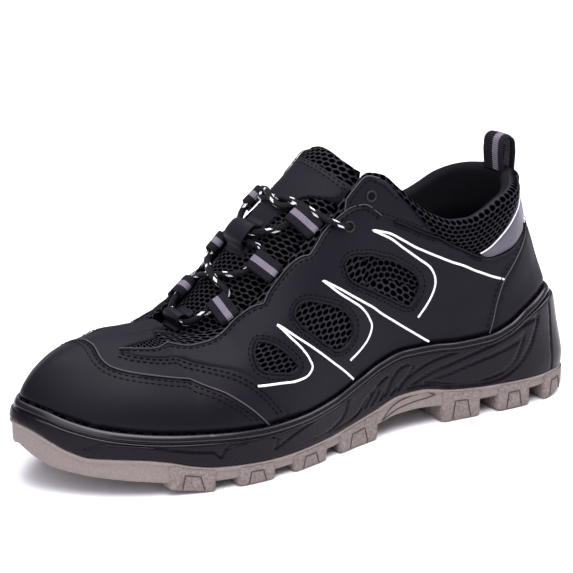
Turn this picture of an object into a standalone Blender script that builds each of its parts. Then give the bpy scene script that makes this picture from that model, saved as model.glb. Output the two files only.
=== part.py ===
"""A safety sneaker for the left foot, built the way a shoemaker would put it together.

Axes: +X points to the toe, +Y to the wearer's left (the outer side) and +Z up.
The origin is on the floor under the middle of the heel. All sizes are in metres.
"""

import math

import bmesh
import bpy
import numpy as np
from mathutils import Vector
from mathutils.bvhtree import BVHTree
from mathutils.geometry import delaunay_2d_cdt

# Driving sizes
LENGTH = 0.300  # sole, heel back to toe tip
BALL_WIDTH = 0.110  # sole at the ball of the foot
BACK_HEIGHT = 0.116  # floor to the collar at the back
SPLIT_HEIGHT = 0.015  # grey outsole's height at the heel
HEEL_REST = 0.0465  # heel back to the origin

# Walls and gaps
UPPER_WALL = 0.0022
COLLAR_PAD = 0.0075  # wall of the padded collar
OVERLAY = 0.0012  # toe cap, counter and quarter panels
GAP = 0.0003  # between pieces that touch
CUP_GAP = 0.00045  # between the curved upper and the midsole's cup
RIM_WALL = 0.0028  # midsole's rim round the upper
FEATHER_INSET = 0.0046  # sole's outline in to the upper's bottom edge
INSOLE = 0.0045
INSOLE_GAP = 0.0009
SIDE_INSET = 0.0006  # sole's outline in to the midsole's side
TRAY_WALL = 0.0038  # sole's outline in to the outsole's tray

# Mesh density
SIDE_STATIONS = 30  # spaces from heel back to toe tip, on each side
RIB_ROWS = 8  # spaces from the sole up to the collar

# Where the ribs stop being parallel and fan round the heel and the toe, as shares of LENGTH
HEEL_CENTRE = 0.155
TOE_CENTRE = 0.76

# The sole's outline. Shares of LENGTH and BALL_WIDTH
OUTLINE = (  # along, across
    (0.000, 0.000),
    (0.005, 0.140),
    (0.018, 0.250),
    (0.062, 0.328),
    (0.155, 0.357),
    (0.267, 0.341),
    (0.367, 0.335),
    (0.467, 0.385),
    (0.567, 0.467),
    (0.650, 0.504),
    (0.733, 0.493),
    (0.817, 0.436),
    (0.893, 0.333),
    (0.950, 0.205),
    (0.988, 0.075),
    (1.000, -0.025),
    (0.985, -0.125),
    (0.955, -0.235),
    (0.905, -0.345),
    (0.835, -0.428),
    (0.745, -0.475),
    (0.650, -0.470),
    (0.567, -0.425),
    (0.467, -0.350),
    (0.367, -0.309),
    (0.267, -0.318),
    (0.155, -0.345),
    (0.062, -0.318),
    (0.018, -0.240),
    (0.005, -0.130),
)

# The foot's ridge line, which the ribs meet or point to. Shares of LENGTH and BALL_WIDTH
RIDGE = (  # along, across
    (0.00, 0.000),
    (0.33, -0.005),
    (0.50, -0.020),
    (0.67, -0.035),
    (0.83, -0.045),
    (1.00, -0.045),
)

# The upper's ribs, from the sole up to the collar or the ridge. along is a share of LENGTH,
# outer_edge and inner_edge of BALL_WIDTH from the ridge, edge_up of BACK_HEIGHT. wall_out
# and shoulder_out are shares of the rib's foot radius, wall_up and shoulder_down of its rise.
RIBS = (  # along, outer_edge, inner_edge, edge_up, wall_out, wall_up, shoulder_out, shoulder_down
    (0.000, 0.222, 0.222, 1.000, -0.08, 0.27, 0.03, 0.33),
    (0.030, 0.212, 0.212, 0.998, -0.08, 0.27, 0.03, 0.33),
    (0.080, 0.236, 0.236, 0.988, -0.05, 0.28, 0.02, 0.33),
    (0.155, 0.290, 0.290, 0.945, 0.02, 0.31, 0.00, 0.33),
    (0.195, 0.304, 0.300, 0.898, 0.05, 0.34, -0.02, 0.32),
    (0.225, 0.306, 0.300, 0.875, 0.06, 0.35, -0.03, 0.32),
    (0.255, 0.304, 0.298, 0.878, 0.06, 0.36, -0.02, 0.32),
    (0.295, 0.296, 0.288, 0.918, 0.06, 0.37, 0.00, 0.31),
    (0.325, 0.287, 0.278, 0.977, 0.05, 0.39, 0.02, 0.30),
    (0.355, 0.277, 0.266, 1.054, 0.05, 0.40, 0.05, 0.28),
    (0.385, 0.268, 0.257, 1.122, 0.05, 0.41, 0.08, 0.27),
    (0.412, 0.262, 0.251, 1.137, 0.05, 0.42, 0.10, 0.26),
    (0.432, 0.260, 0.248, 1.094, 0.05, 0.42, 0.12, 0.25),
    (0.460, 0.260, 0.248, 1.024, 0.05, 0.42, 0.15, 0.24),
    (0.500, 0.261, 0.247, 0.937, 0.05, 0.42, 0.18, 0.24),
    (0.550, 0.261, 0.246, 0.840, 0.05, 0.42, 0.22, 0.22),
    (0.585, 0.260, 0.244, 0.758, 0.05, 0.42, 0.26, 0.20),
    (0.633, 0.252, 0.237, 0.657, 0.04, 0.43, 0.30, 0.19),
    (0.675, 0.226, 0.214, 0.588, 0.04, 0.45, 0.34, 0.17),
    (0.705, 0.184, 0.174, 0.563, 0.04, 0.48, 0.38, 0.13),
    (0.730, 0.124, 0.117, 0.555, 0.03, 0.50, 0.43, 0.08),
    (0.745, 0.062, 0.058, 0.556, 0.03, 0.52, 0.47, 0.03),
    (0.752, 0.000, 0.000, 0.558, 0.03, 0.53, 0.49, 0.00),
    (0.775, 0.000, 0.000, 0.559, 0.02, 0.56, 0.52, 0.00),
    (0.850, 0.000, 0.000, 0.559, 0.03, 0.66, 0.57, 0.00),
    (1.000, 0.000, 0.000, 0.559, 0.05, 0.76, 0.60, 0.00),
)

# Heights along the sole. Shares of LENGTH, and of BACK_HEIGHT for the rest
LEVELS = (  # along, footbed, rim
    (0.000, 0.259, 0.488),
    (0.030, 0.259, 0.486),
    (0.065, 0.258, 0.472),
    (0.115, 0.256, 0.435),
    (0.155, 0.254, 0.385),
    (0.195, 0.251, 0.358),
    (0.255, 0.246, 0.353),
    (0.305, 0.239, 0.362),
    (0.355, 0.231, 0.362),
    (0.405, 0.219, 0.334),
    (0.445, 0.208, 0.296),
    (0.505, 0.190, 0.250),
    (0.575, 0.172, 0.230),
    (0.645, 0.164, 0.226),
    (0.705, 0.164, 0.232),
    (0.775, 0.171, 0.244),
    (0.845, 0.185, 0.262),
    (0.905, 0.203, 0.286),
    (0.945, 0.216, 0.316),
    (0.972, 0.224, 0.345),
    (1.000, 0.228, 0.366),
)

# The tongue's upper surface, from inside the vamp to its top. Shares of LENGTH and
# BACK_HEIGHT, then of BALL_WIDTH for its half width and how far its sides drop. thick in metres
TONGUE = (  # along, up, half_width, side_drop, thick
    (0.790, 0.500, 0.100, 0.012, 0.0016),
    (0.755, 0.503, 0.150, 0.026, 0.0022),
    (0.715, 0.530, 0.190, 0.050, 0.0032),
    (0.670, 0.632, 0.222, 0.082, 0.0042),
    (0.625, 0.750, 0.240, 0.110, 0.0050),
    (0.585, 0.862, 0.245, 0.130, 0.0056),
    (0.545, 0.965, 0.245, 0.140, 0.0060),
    (0.505, 1.058, 0.238, 0.140, 0.0064),
    (0.470, 1.140, 0.230, 0.132, 0.0070),
    (0.448, 1.196, 0.218, 0.116, 0.0066),
    (0.440, 1.218, 0.196, 0.088, 0.0050),
)
TONGUE_COLUMNS = 8

LACE_RADIUS = 0.0016
LACE_SIDES = 6
# Webbing loops along the throat, and the two bridges on the tongue. Shares of LENGTH
LOOPS_ALONG = (0.668, 0.588, 0.514)
LOOP_WIDTH = 0.0105
# half_width, tunnel and reach in metres
KEEPERS = (  # name, along, half_width, tunnel, reach
    ("lace_keeper_lower", 0.700, 0.0062, 0.0034, 0.0068),
    ("lace_keeper_middle", 0.580, 0.0070, 0.0066, 0.0098),
)
CROSSINGS = (  # along, spread. Shares of LENGTH
    (0.635, 0.007),
    (0.580, 0.008),
    (0.486, 0.010),
)
TOP_EYELET = 0.462  # share of LENGTH

# Panels. round goes from the heel's back, 0, to the toe tip, 1, and on round the other side.
# up is 0 at the sole's rim and 1 at the upper's edge or ridge
TOE_CAP = (  # round, up
    (0.639, 0.00),
    (0.662, 0.16),
    (0.692, 0.31),
    (0.734, 0.40),
    (0.803, 0.43),
    (0.871, 0.44),
    (0.913, 0.52),
    (0.976, 0.605),
    (1.024, 0.605),
    (1.087, 0.52),
    (1.129, 0.44),
    (1.197, 0.43),
    (1.266, 0.40),
    (1.308, 0.31),
    (1.338, 0.16),
    (1.361, 0.00),
)
COUNTER = (  # round, up
    (-0.232, 0.00),
    (-0.224, 0.13),
    (-0.213, 0.27),
    (-0.203, 0.375),
    (-0.156, 0.505),
    (-0.136, 0.54),
    (-0.080, 0.565),
    (0.000, 0.575),
    (0.080, 0.565),
    (0.136, 0.54),
    (0.156, 0.505),
    (0.203, 0.375),
    (0.213, 0.27),
    (0.224, 0.13),
    (0.232, 0.00),
)
REFLECTIVE = (  # round, up
    (-0.250, 0.700),
    (-0.205, 0.615),
    (-0.150, 0.605),
    (-0.080, 0.615),
    (0.000, 0.620),
    (0.080, 0.615),
    (0.150, 0.605),
    (0.205, 0.615),
    (0.250, 0.700),
    (0.232, 0.730),
    (0.205, 0.790),
    (0.174, 0.850),
    (0.130, 0.895),
    (0.070, 0.915),
    (0.000, 0.920),
    (-0.070, 0.915),
    (-0.130, 0.895),
    (-0.174, 0.850),
    (-0.205, 0.790),
    (-0.232, 0.730),
)
TAB = (  # round, up
    (0.486, 0.985),
    (0.463, 1.000),
    (0.410, 1.000),
    (0.379, 0.975),
    (0.350, 0.930),
    (0.324, 0.886),
    (0.295, 0.832),
    (0.262, 0.745),
    (0.256, 0.690),
    (0.285, 0.745),
    (0.318, 0.784),
    (0.350, 0.765),
    (0.382, 0.745),
    (0.426, 0.790),
    (0.455, 0.870),
)
QUARTER = (  # round, up
    (0.238, 0.000),
    (0.230, 0.130),
    (0.219, 0.280),
    (0.209, 0.390),
    (0.163, 0.520),
    (0.150, 0.550),
    (0.155, 0.590),
    (0.205, 0.595),
    (0.246, 0.660),
    (0.285, 0.730),
    (0.318, 0.768),
    (0.350, 0.748),
    (0.382, 0.728),
    (0.428, 0.770),
    (0.459, 0.850),
    (0.490, 0.960),
    (0.498, 1.000),
    (0.504, 0.960),
    (0.540, 0.955),
    (0.547, 1.000),
    (0.566, 1.000),
    (0.572, 0.955),
    (0.607, 0.950),
    (0.614, 1.000),
    (0.632, 0.990),
    (0.638, 0.945),
    (0.674, 0.905),
    (0.700, 0.838),
    (0.745, 0.752),
    (0.792, 0.694),
    (0.855, 0.664),
    (0.882, 0.655),
    (0.887, 0.625),
    (0.847, 0.572),
    (0.779, 0.568),
    (0.713, 0.574),
    (0.684, 0.526),
    (0.663, 0.424),
    (0.642, 0.268),
    (0.611, 0.000),
)
WINDOWS = (
    (  # round, up
        (0.468, 0.718),
        (0.455, 0.694),
        (0.421, 0.568),
        (0.363, 0.514),
        (0.353, 0.478),
        (0.355, 0.370),
        (0.366, 0.284),
        (0.392, 0.310),
        (0.437, 0.472),
        (0.471, 0.676),
    ),
    (  # round, up
        (0.550, 0.718),
        (0.534, 0.682),
        (0.505, 0.544),
        (0.471, 0.364),
        (0.463, 0.274),
        (0.466, 0.226),
        (0.489, 0.248),
        (0.529, 0.424),
        (0.558, 0.598),
        (0.561, 0.688),
    ),
    (  # round, up
        (0.626, 0.742),
        (0.618, 0.676),
        (0.595, 0.520),
        (0.574, 0.382),
        (0.572, 0.340),
        (0.584, 0.346),
        (0.621, 0.430),
        (0.632, 0.526),
        (0.634, 0.646),
    ),
)

# The band down the middle of the vamp. Shares of LENGTH, half width of BALL_WIDTH
BLADE = (  # along, half_width
    (0.764, 0.062),
    (0.785, 0.060),
    (0.805, 0.056),
    (0.825, 0.052),
    (0.842, 0.048),
    (0.856, 0.036),
)

# Pull loop: its half width, strap, rise over the collar and depth at the top
PULL_HALF_WIDTH = 0.008
PULL_STRAP = 0.0013
PULL_RISE = 0.0165
PULL_DEPTH = 0.0075

# The outsole's levels: its top edge, the tray inside that edge, the underside between the
# blocks, and the blocks' own underside. Shares of LENGTH, and of SPLIT_HEIGHT for the rest
TREAD = (  # along, split, tray, plate, floor
    (0.000, 1.00, 0.82, 0.66, 0.30),
    (0.027, 0.98, 0.80, 0.62, 0.18),
    (0.060, 0.96, 0.78, 0.58, 0.03),
    (0.090, 0.96, 0.77, 0.56, 0.00),
    (0.200, 1.00, 0.80, 0.56, 0.00),
    (0.263, 1.10, 0.86, 0.56, 0.00),
    (0.330, 1.32, 1.00, 0.66, 0.00),
    (0.367, 1.30, 1.00, 0.64, 0.00),
    (0.420, 1.03, 0.78, 0.46, 0.00),
    (0.467, 0.86, 0.64, 0.38, 0.00),
    (0.527, 0.72, 0.52, 0.32, 0.00),
    (0.627, 0.66, 0.48, 0.28, 0.00),
    (0.740, 0.77, 0.52, 0.30, 0.00),
    (0.777, 0.90, 0.58, 0.34, 0.08),
    (0.817, 1.12, 0.66, 0.42, 0.21),
    (0.850, 1.23, 0.72, 0.50, 0.32),
    (0.890, 1.28, 0.82, 0.60, 0.46),
    (0.920, 1.30, 0.90, 0.68, 0.60),
    (0.947, 1.50, 1.02, 0.80, 0.80),
    (0.967, 1.77, 1.12, 0.92, 0.92),
    (0.987, 2.07, 1.36, 1.20, 1.20),
    (1.000, 2.20, 1.62, 1.50, 1.50),
)

# Tread blocks along each edge. Shares of LENGTH
EDGE_LUGS = (  # rear, front
    (0.018, 0.080),
    (0.112, 0.178),
    (0.212, 0.286),
    (0.415, 0.503),
    (0.532, 0.604),
    (0.640, 0.706),
    (0.742, 0.815),
)
LUG_REACH = 0.024  # how far an edge lug runs in under the foot
LUG_PROUD = 0.0009  # how far it stands out of the plate's side
LUG_TAPER = 0.0009
LUG_CREST = 0.0035  # outsole's top edge down to the lug's

# Blocks in the middle of the tread. Shares of LENGTH, with the half width in metres
MIDDLE_LUGS = (  # rear, front, half_width
    (0.050, 0.100, 0.0085),
    (0.118, 0.182, 0.0095),
    (0.202, 0.252, 0.0085),
    (0.470, 0.535, 0.0120),
    (0.565, 0.630, 0.0140),
    (0.655, 0.722, 0.0140),
    (0.745, 0.795, 0.0120),
)


def smooth(rows, column):
    """A function that runs through a table's column without overshooting."""
    table = np.array(rows, float)
    x, y = table[:, 0], table[:, column]
    gaps, rises = np.diff(x), np.diff(y) / np.diff(x)
    slopes = np.zeros(len(x))
    slopes[0], slopes[-1] = rises[0], rises[-1]
    before, after = rises[:-1], rises[1:]
    weight_a, weight_b = 2 * gaps[1:] + gaps[:-1], gaps[1:] + 2 * gaps[:-1]
    same_way = before * after > 0
    safe_before, safe_after = np.where(same_way, before, 1), np.where(same_way, after, 1)
    mean = (weight_a + weight_b) / (weight_a / safe_before + weight_b / safe_after)
    slopes[1:-1] = np.where(same_way, mean, 0)

    def value(at):
        at = np.clip(at, x[0], x[-1])
        i = np.clip(np.searchsorted(x, at) - 1, 0, len(gaps) - 1)
        t, gap = (at - x[i]) / gaps[i], gaps[i]
        return (
            y[i] * (1 + 2 * t) * (1 - t) ** 2
            + gap * slopes[i] * t * (1 - t) ** 2
            + y[i + 1] * t * t * (3 - 2 * t)
            + gap * slopes[i + 1] * t * t * (t - 1)
        )

    return value


def closed_curve(points, count):
    """count points on a smooth closed curve through the given ones."""
    p = np.array(points, float)
    n = len(p)
    step = np.linalg.norm(np.roll(p, -1, 0) - p, axis=1)
    knots = np.concatenate([[0], np.cumsum(step)])
    system, right = np.zeros((n, n)), np.zeros_like(p)
    for i in range(n):
        back, ahead = step[i - 1], step[i]
        system[i, i - 1] += back
        system[i, i] += 2 * (back + ahead)
        system[i, (i + 1) % n] += ahead
        right[i] = 6 * ((p[(i + 1) % n] - p[i]) / ahead - (p[i] - p[i - 1]) / back)
    bend = np.linalg.solve(system, right)
    at = np.linspace(0, knots[-1], count, endpoint=False)
    i = np.searchsorted(knots, at, side="right") - 1
    j, h = (i + 1) % n, step[i][:, None]
    a, b = (knots[i + 1] - at)[:, None] / h, (at - knots[i])[:, None] / h
    return a * p[i] + b * p[j] + ((a**3 - a) * bend[i] + (b**3 - b) * bend[j]) * h**2 / 6


def outline_sides():
    """The sole's outline as two arrays from heel back to toe tip: outer side, inner side."""
    loop = closed_curve([(a * LENGTH, b * BALL_WIDTH) for a, b in OUTLINE], 4000)
    heel, toe = np.argmin(loop[:, 0]), np.argmax(loop[:, 0])
    loop = np.roll(loop, -heel, 0)
    toe = (toe - heel) % len(loop)
    outer = loop[: toe + 1]
    inner = np.concatenate([loop[toe:], loop[:1]])[::-1]
    low, high = outer[0, 0], outer[-1, 0]
    for side in (outer, inner):
        side[:, 0] = (side[:, 0] - low) * LENGTH / (high - low)
    return outer, inner


def stations(count):
    """Places along the shoe, evenly spaced round the outline, which both sides share."""
    travel = 0
    x = np.linspace(0, 1, 4001)
    x = LENGTH * (1 - np.cos(math.pi * x)) / 2
    for side in outline_sides():
        y = np.interp(x, side[:, 0], side[:, 1])
        steps = np.hypot(np.diff(x), np.diff(y))
        travel = travel + np.concatenate([[0], np.cumsum(steps)])
    return np.interp(np.linspace(0, travel[-1], count + 1), travel, x)


def outline_loop(count):
    """The outline as a closed loop: heel back, outer side, toe tip, inner side."""
    x = stations(count)
    outer, inner = outline_sides()
    there = np.stack([x, np.interp(x, outer[:, 0], outer[:, 1])], 1)
    back = np.stack([x, np.interp(x, inner[:, 0], inner[:, 1])], 1)
    return np.concatenate([there, back[-2:0:-1]])


def moved_in(loop, distance):
    """The loop moved in by a distance, along its own normals."""
    along = np.roll(loop, -1, 0) - np.roll(loop, 1, 0)
    along /= np.linalg.norm(along, axis=1)[:, None]
    normal = np.stack([-along[:, 1], along[:, 0]], 1)
    return loop - normal * np.reshape(distance, (-1, 1))


def share_along(loop):
    return loop[:, 0] / LENGTH


def on_outer_side(loop):
    """1 on the outer side and 0 on the inner side, for each rib of a loop."""
    half = len(loop) // 2
    return (np.arange(len(loop)) <= half).astype(float)


def spine(loop):
    """For each rib, the point on the ridge line that it runs towards, seen from above."""
    x = np.clip(loop[:, 0], HEEL_CENTRE * LENGTH, TOE_CENTRE * LENGTH)
    return np.stack([x, smooth(RIDGE, 1)(x / LENGTH) * BALL_WIDTH], 1)


def rib_handles(loop):
    """Foot, two handles and edge of each rib, as radius from the spine and height."""
    foot = moved_in(loop, FEATHER_INSET)
    centre = spine(loop)
    radius = np.linalg.norm(foot - centre, axis=1)
    at = share_along(loop)
    outer = on_outer_side(loop)
    edge = outer * smooth(RIBS, 1)(at) + (1 - outer) * smooth(RIBS, 2)(at)
    edge_r = np.maximum(edge, 0) * BALL_WIDTH
    edge_z = smooth(RIBS, 3)(at) * BACK_HEIGHT
    foot_z = smooth(LEVELS, 1)(at) * BACK_HEIGHT + GAP
    rise = edge_z - foot_z
    wall_r = radius * (1 + smooth(RIBS, 4)(at))
    wall_z = foot_z + rise * smooth(RIBS, 5)(at)
    shoulder_r = edge_r + radius * smooth(RIBS, 6)(at)
    shoulder_z = edge_z - rise * smooth(RIBS, 7)(at)
    return foot, centre, (
        np.stack([radius, foot_z], 1),
        np.stack([wall_r, wall_z], 1),
        np.stack([shoulder_r, shoulder_z], 1),
        np.stack([edge_r, edge_z], 1),
    )


def upper_grid(loop, heights):
    """The upper's outer surface as points[rib, row]. heights are shares of each rib's length."""
    foot, centre, (a, b, c, d) = rib_handles(loop)
    away = foot - centre
    away /= np.linalg.norm(away, axis=1)[:, None]
    t = np.linspace(0, 1, 200)[:, None, None]
    path = a * (1 - t) ** 3 + 3 * b * t * (1 - t) ** 2 + 3 * c * t * t * (1 - t) + d * t**3
    steps = np.linalg.norm(np.diff(path, axis=0), axis=2)
    travel = np.concatenate([np.zeros((1, len(loop))), np.cumsum(steps, 0)])
    grid = np.empty((len(loop), len(heights), 3))
    for i in range(len(loop)):
        reach = np.asarray(heights) * travel[-1, i]
        r = np.interp(reach, travel[:, i], path[:, i, 0])
        z = np.interp(reach, travel[:, i], path[:, i, 1])
        grid[i, :, :2] = centre[i] + away[i] * r[:, None]
        grid[i, :, 2] = z
    return grid


def upper_at_height(loop, z, clearance):
    """The loop where the upper's outside passes a height, moved out by a clearance."""
    rows = np.linspace(0, 1, 120)
    grid = upper_grid(loop, rows)
    centre = spine(loop)
    found = np.empty((len(loop), 3))
    for i, level in enumerate(z):
        row = np.interp(level, grid[i, :60, 2], np.arange(60))
        low = min(int(row), 58)
        point = grid[i, low] + (grid[i, low + 1] - grid[i, low]) * (row - low)
        out = point[:2] - centre[i]
        point[:2] += out / np.linalg.norm(out) * clearance
        found[i] = point
    return found


def normals_of(points, faces):
    """Unit normals at the points of a mesh, averaged over its faces."""
    total = np.zeros_like(points)
    for face in faces:
        corners = points[list(face)]
        for k in range(1, len(face) - 1):
            across = np.cross(corners[k] - corners[0], corners[k + 1] - corners[0])
            for index in (face[0], face[k], face[k + 1]):
                total[index] += across
    return total / np.maximum(np.linalg.norm(total, axis=1), 1e-12)[:, None]


def rib_rows(count):
    """Heights up the ribs, with two close together at the edge to round it."""
    return np.concatenate([np.linspace(0, 0.955, count - 1), [0.985, 1.0]])


def pad_thickness(loop, heights):
    """The upper's wall at each rib and row: thin below, padded round the collar."""
    at = share_along(loop)[:, None]
    up = np.clip((np.asarray(heights)[None, :] - 0.50) / 0.28, 0, 1)
    rear = np.clip((0.385 - at) / 0.09, 0, 1)
    ease = up * up * (3 - 2 * up) * rear * rear * (3 - 2 * rear)
    return UPPER_WALL + (COLLAR_PAD - UPPER_WALL) * ease


def point_keys(grid):
    """The grid's points without repeats, and each one's number."""
    found, points, index = {}, [], np.empty(grid.shape[:2], int)
    for i in range(grid.shape[0]):
        for k in range(grid.shape[1]):
            key = tuple(np.round(grid[i, k] * 1e6).astype(int))
            if key not in found:
                found[key] = len(points)
                points.append(grid[i, k])
            index[i, k] = found[key]
    return np.array(points), index


def clean_face(face):
    face = [p for q, p in enumerate(face) if p != face[q - 1]]
    return face if len(set(face)) > 2 else None


def skin_triangles(index):
    """The upper's outer skin as triangles, all cut along the same diagonal."""
    n, m = index.shape
    faces = []
    for i in range(n):
        j = (i + 1) % n
        for k in range(m - 1):
            for face in (
                [index[i, k], index[j, k + 1], index[j, k]],
                [index[i, k], index[i, k + 1], index[j, k + 1]],
            ):
                face = clean_face(face)
                if face:
                    faces.append(face)
    return faces


def upper_skins(loop, rows):
    """Outer and inner points[rib, row] of the upper, and its outward normals."""
    grid = upper_grid(loop, rows)
    points, index = point_keys(grid)
    normals = normals_of(points, skin_triangles(index))[index]
    wall = pad_thickness(loop, rows)
    is_open = rib_handles(loop)[2][3][:, 0] > 1e-6
    outer_dip, inner_dip = np.zeros_like(wall), wall.copy()
    outer_dip[is_open, -2] = wall[is_open, -2] * 0.16
    inner_dip[is_open, -2] = wall[is_open, -2] * 0.84
    outer_dip[is_open, -1] = inner_dip[is_open, -1] = wall[is_open, -1] * 0.5
    inner = grid - normals * inner_dip[..., None]
    inner[:, 0, 2] = grid[:, 0, 2]
    return grid - normals * outer_dip[..., None], inner, normals, is_open


def make_upper():
    """One hollow skin, open at the collar, the throat and underneath."""
    loop = outline_loop(SIDE_STATIONS)
    outer, inner, _, is_open = upper_skins(loop, rib_rows(RIB_ROWS))
    both = np.concatenate([outer, inner])
    points, index = point_keys(both)
    n, m = outer.shape[:2]
    out, ins = index[:n], index[n:]
    faces = []
    for i in range(n):
        j = (i + 1) % n
        for k in range(m - 1):
            faces.append([out[i, k], out[j, k], out[j, k + 1]])
            faces.append([out[i, k], out[j, k + 1], out[i, k + 1]])
            faces.append([ins[i, k], ins[j, k + 1], ins[j, k]])
            faces.append([ins[i, k], ins[i, k + 1], ins[j, k + 1]])
        faces.append([out[i, 0], ins[i, 0], ins[j, 0], out[j, 0]])
        if is_open[i] != is_open[j]:
            faces.append([out[i, -1], out[j, -1], ins[j, -1], ins[i, -1]])
    faces = [clean_face(face) for face in faces]
    return make_object("upper", points, [f for f in faces if f], "Upper", (0.022, 0.022, 0.027))


def make_object(name, points, faces, material, colour, roughness=0.7):
    """A closed, smooth object with its own material. Points are still in outline axes."""
    mesh = bpy.data.meshes.new(name)
    shifted = np.array(points, float) - (HEEL_REST, 0, 0)
    mesh.from_pydata([tuple(p) for p in shifted], [], [list(map(int, f)) for f in faces])
    mesh.validate()
    work = bmesh.new()
    work.from_mesh(mesh)
    bmesh.ops.remove_doubles(work, verts=work.verts, dist=0.000001)
    loose = [v for v in work.verts if not v.link_faces]
    bmesh.ops.delete(work, geom=loose, context="VERTS")
    bmesh.ops.recalc_face_normals(work, faces=work.faces)
    work.to_mesh(mesh)
    work.free()
    mesh.polygons.foreach_set("use_smooth", [True] * len(mesh.polygons))
    obj = bpy.data.objects.new(name, mesh)
    bpy.context.scene.collection.objects.link(obj)
    skin = bpy.data.materials.new(material)
    skin.use_nodes = True
    shader = skin.node_tree.nodes["Principled BSDF"]
    shader.inputs["Base Color"].default_value = (*colour, 1)
    shader.inputs["Roughness"].default_value = roughness
    mesh.materials.append(skin)
    return obj


def ring_points(loop, height):
    return np.column_stack([loop, np.broadcast_to(height, len(loop))])


def stacked_rings(rings):
    """Points and faces of rings joined in order, the first and last closed by cross strips."""
    n = len(rings[0])
    half = n // 2
    points = np.concatenate(rings)
    faces = []
    for r in range(len(rings) - 1):
        for i in range(n):
            j = (i + 1) % n
            faces.append([r * n + i, r * n + j, (r + 1) * n + j, (r + 1) * n + i])
    last = (len(rings) - 1) * n
    for base in (0, last):
        for i in range(half):
            a, b, c, d = i, i + 1, (n - i - 1) % n, (n - i) % n
            strip = clean_face([base + a, base + b, base + c, base + d])
            faces.append(strip if base else strip[::-1])
    return points, faces


def level(rows, column, loop, size):
    return smooth(rows, column)(share_along(loop)) * size


def make_midsole():
    """A cup with a rolled rim that the upper stands in."""
    loop = outline_loop(SIDE_STATIONS)
    split = level(TREAD, 1, loop, SPLIT_HEIGHT) + GAP
    tray = level(TREAD, 2, loop, SPLIT_HEIGHT) + GAP
    bed = level(LEVELS, 1, loop, BACK_HEIGHT)
    rim = level(LEVELS, 2, loop, BACK_HEIGHT)
    wall = upper_at_height(loop, rim, CUP_GAP)
    away = wall[:, :2] - spine(loop)
    away /= np.linalg.norm(away, axis=1)[:, None]
    side = moved_in(loop, SIDE_INSET)
    bead = wall[:, :2] + away * RIM_WALL * 1.15
    bead_low = bead * 0.72 + side * 0.28
    rings = [
        ring_points(moved_in(loop, TRAY_WALL + GAP), tray),
        ring_points(moved_in(loop, TRAY_WALL), split),
        ring_points(moved_in(loop, SIDE_INSET + 0.0004), split),
        ring_points(side, split + (rim - split) * 0.18),
        ring_points(side * 0.62 + bead * 0.38, split + (rim - split) * 0.55),
        ring_points(bead_low, rim - 0.0040),
        ring_points(bead, rim - 0.0022),
        ring_points(wall[:, :2] + away * RIM_WALL * 0.80, rim - 0.0005),
        ring_points(wall[:, :2] + away * RIM_WALL * 0.30, rim),
    ]
    for share in (1.0, 0.66, 0.33, 0.0):
        height = bed + GAP + (rim - 0.0007 - bed - GAP) * share
        inside = upper_at_height(loop, height, CUP_GAP)
        if share == 0:
            height = bed
        rings.append(ring_points(inside[:, :2], height))
    points, faces = stacked_rings(rings)
    return make_object("midsole", points, faces, "Midsole", (0.030, 0.026, 0.032), 0.5)


def make_outsole():
    """A tray with blocks under it."""
    loop = outline_loop(SIDE_STATIONS)
    split = level(TREAD, 1, loop, SPLIT_HEIGHT)
    tray = level(TREAD, 2, loop, SPLIT_HEIGHT)
    plate = level(TREAD, 3, loop, SPLIT_HEIGHT)
    rings = [
        ring_points(moved_in(loop, SIDE_INSET + 0.0010), plate),
        ring_points(moved_in(loop, SIDE_INSET + LUG_PROUD), plate + (split - plate) * 0.30),
        ring_points(moved_in(loop, SIDE_INSET + LUG_PROUD), split - 0.0012),
        ring_points(moved_in(loop, SIDE_INSET + LUG_PROUD + 0.0003), split),
        ring_points(moved_in(loop, TRAY_WALL - GAP), split),
        ring_points(moved_in(loop, TRAY_WALL), tray),
    ]
    points, faces = stacked_rings(rings)
    sole = make_object("outsole", points, faces, "Outsole", (0.30, 0.26, 0.24), 0.8)
    blocks = [edge_block(rear, front, side) for rear, front in EDGE_LUGS for side in (1, -1)]
    blocks += [middle_block(*row) for row in MIDDLE_LUGS]
    for block in blocks:
        combine(sole, block, "UNION")
    return sole


def block_solid(outer, inner, low, high, taper):
    """A block between two rows of points, with the low face drawn in all round."""
    outer, inner = np.asarray(outer), np.asarray(inner)
    edge = np.concatenate([outer, inner[::-1]])
    middle = edge.mean(axis=0)
    out = edge - middle
    shrink = 1 - taper / np.maximum(np.abs(out).max(axis=0), 1e-6)
    count = len(outer)
    low_z, high_z = low(edge[:, 0]), high(edge[:, 0])
    points = np.concatenate(
        [np.column_stack([middle + out * shrink, low_z]), np.column_stack([edge, high_z])]
    )
    total = 2 * count
    faces = [[i, (i + 1) % total, total + (i + 1) % total, total + i] for i in range(total)]
    for base in (0, total):
        for i in range(count - 1):
            faces.append([base + i, base + i + 1, base + total - 2 - i, base + total - 1 - i])
    return make_object("block", points, faces, "Block", (0.5, 0.5, 0.5))


def edge_block(rear, front, side):
    """A tread block on the outer edge (side 1) or the inner edge (side -1)."""
    border = outline_sides()[0 if side > 0 else 1]
    x = np.linspace(rear, front, 4) * LENGTH
    edge = np.stack([x, np.interp(x, border[:, 0], border[:, 1])], 1)
    centre = edge.copy()
    centre[:, 1] = 0
    away = edge - centre
    reach = np.minimum(np.linalg.norm(away, axis=1) * 0.62, LUG_REACH)
    away /= np.linalg.norm(away, axis=1)[:, None]
    outer = edge - away * SIDE_INSET
    inner = edge - away * reach[:, None]

    def low(at):
        return smooth(TREAD, 4)(at / LENGTH) * SPLIT_HEIGHT

    def high(at):
        plate = smooth(TREAD, 3)(at / LENGTH) * SPLIT_HEIGHT
        split = smooth(TREAD, 1)(at / LENGTH) * SPLIT_HEIGHT
        return np.minimum(plate + 0.0020, split - 0.0030)

    return block_solid(outer, inner, low, high, LUG_TAPER)


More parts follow.
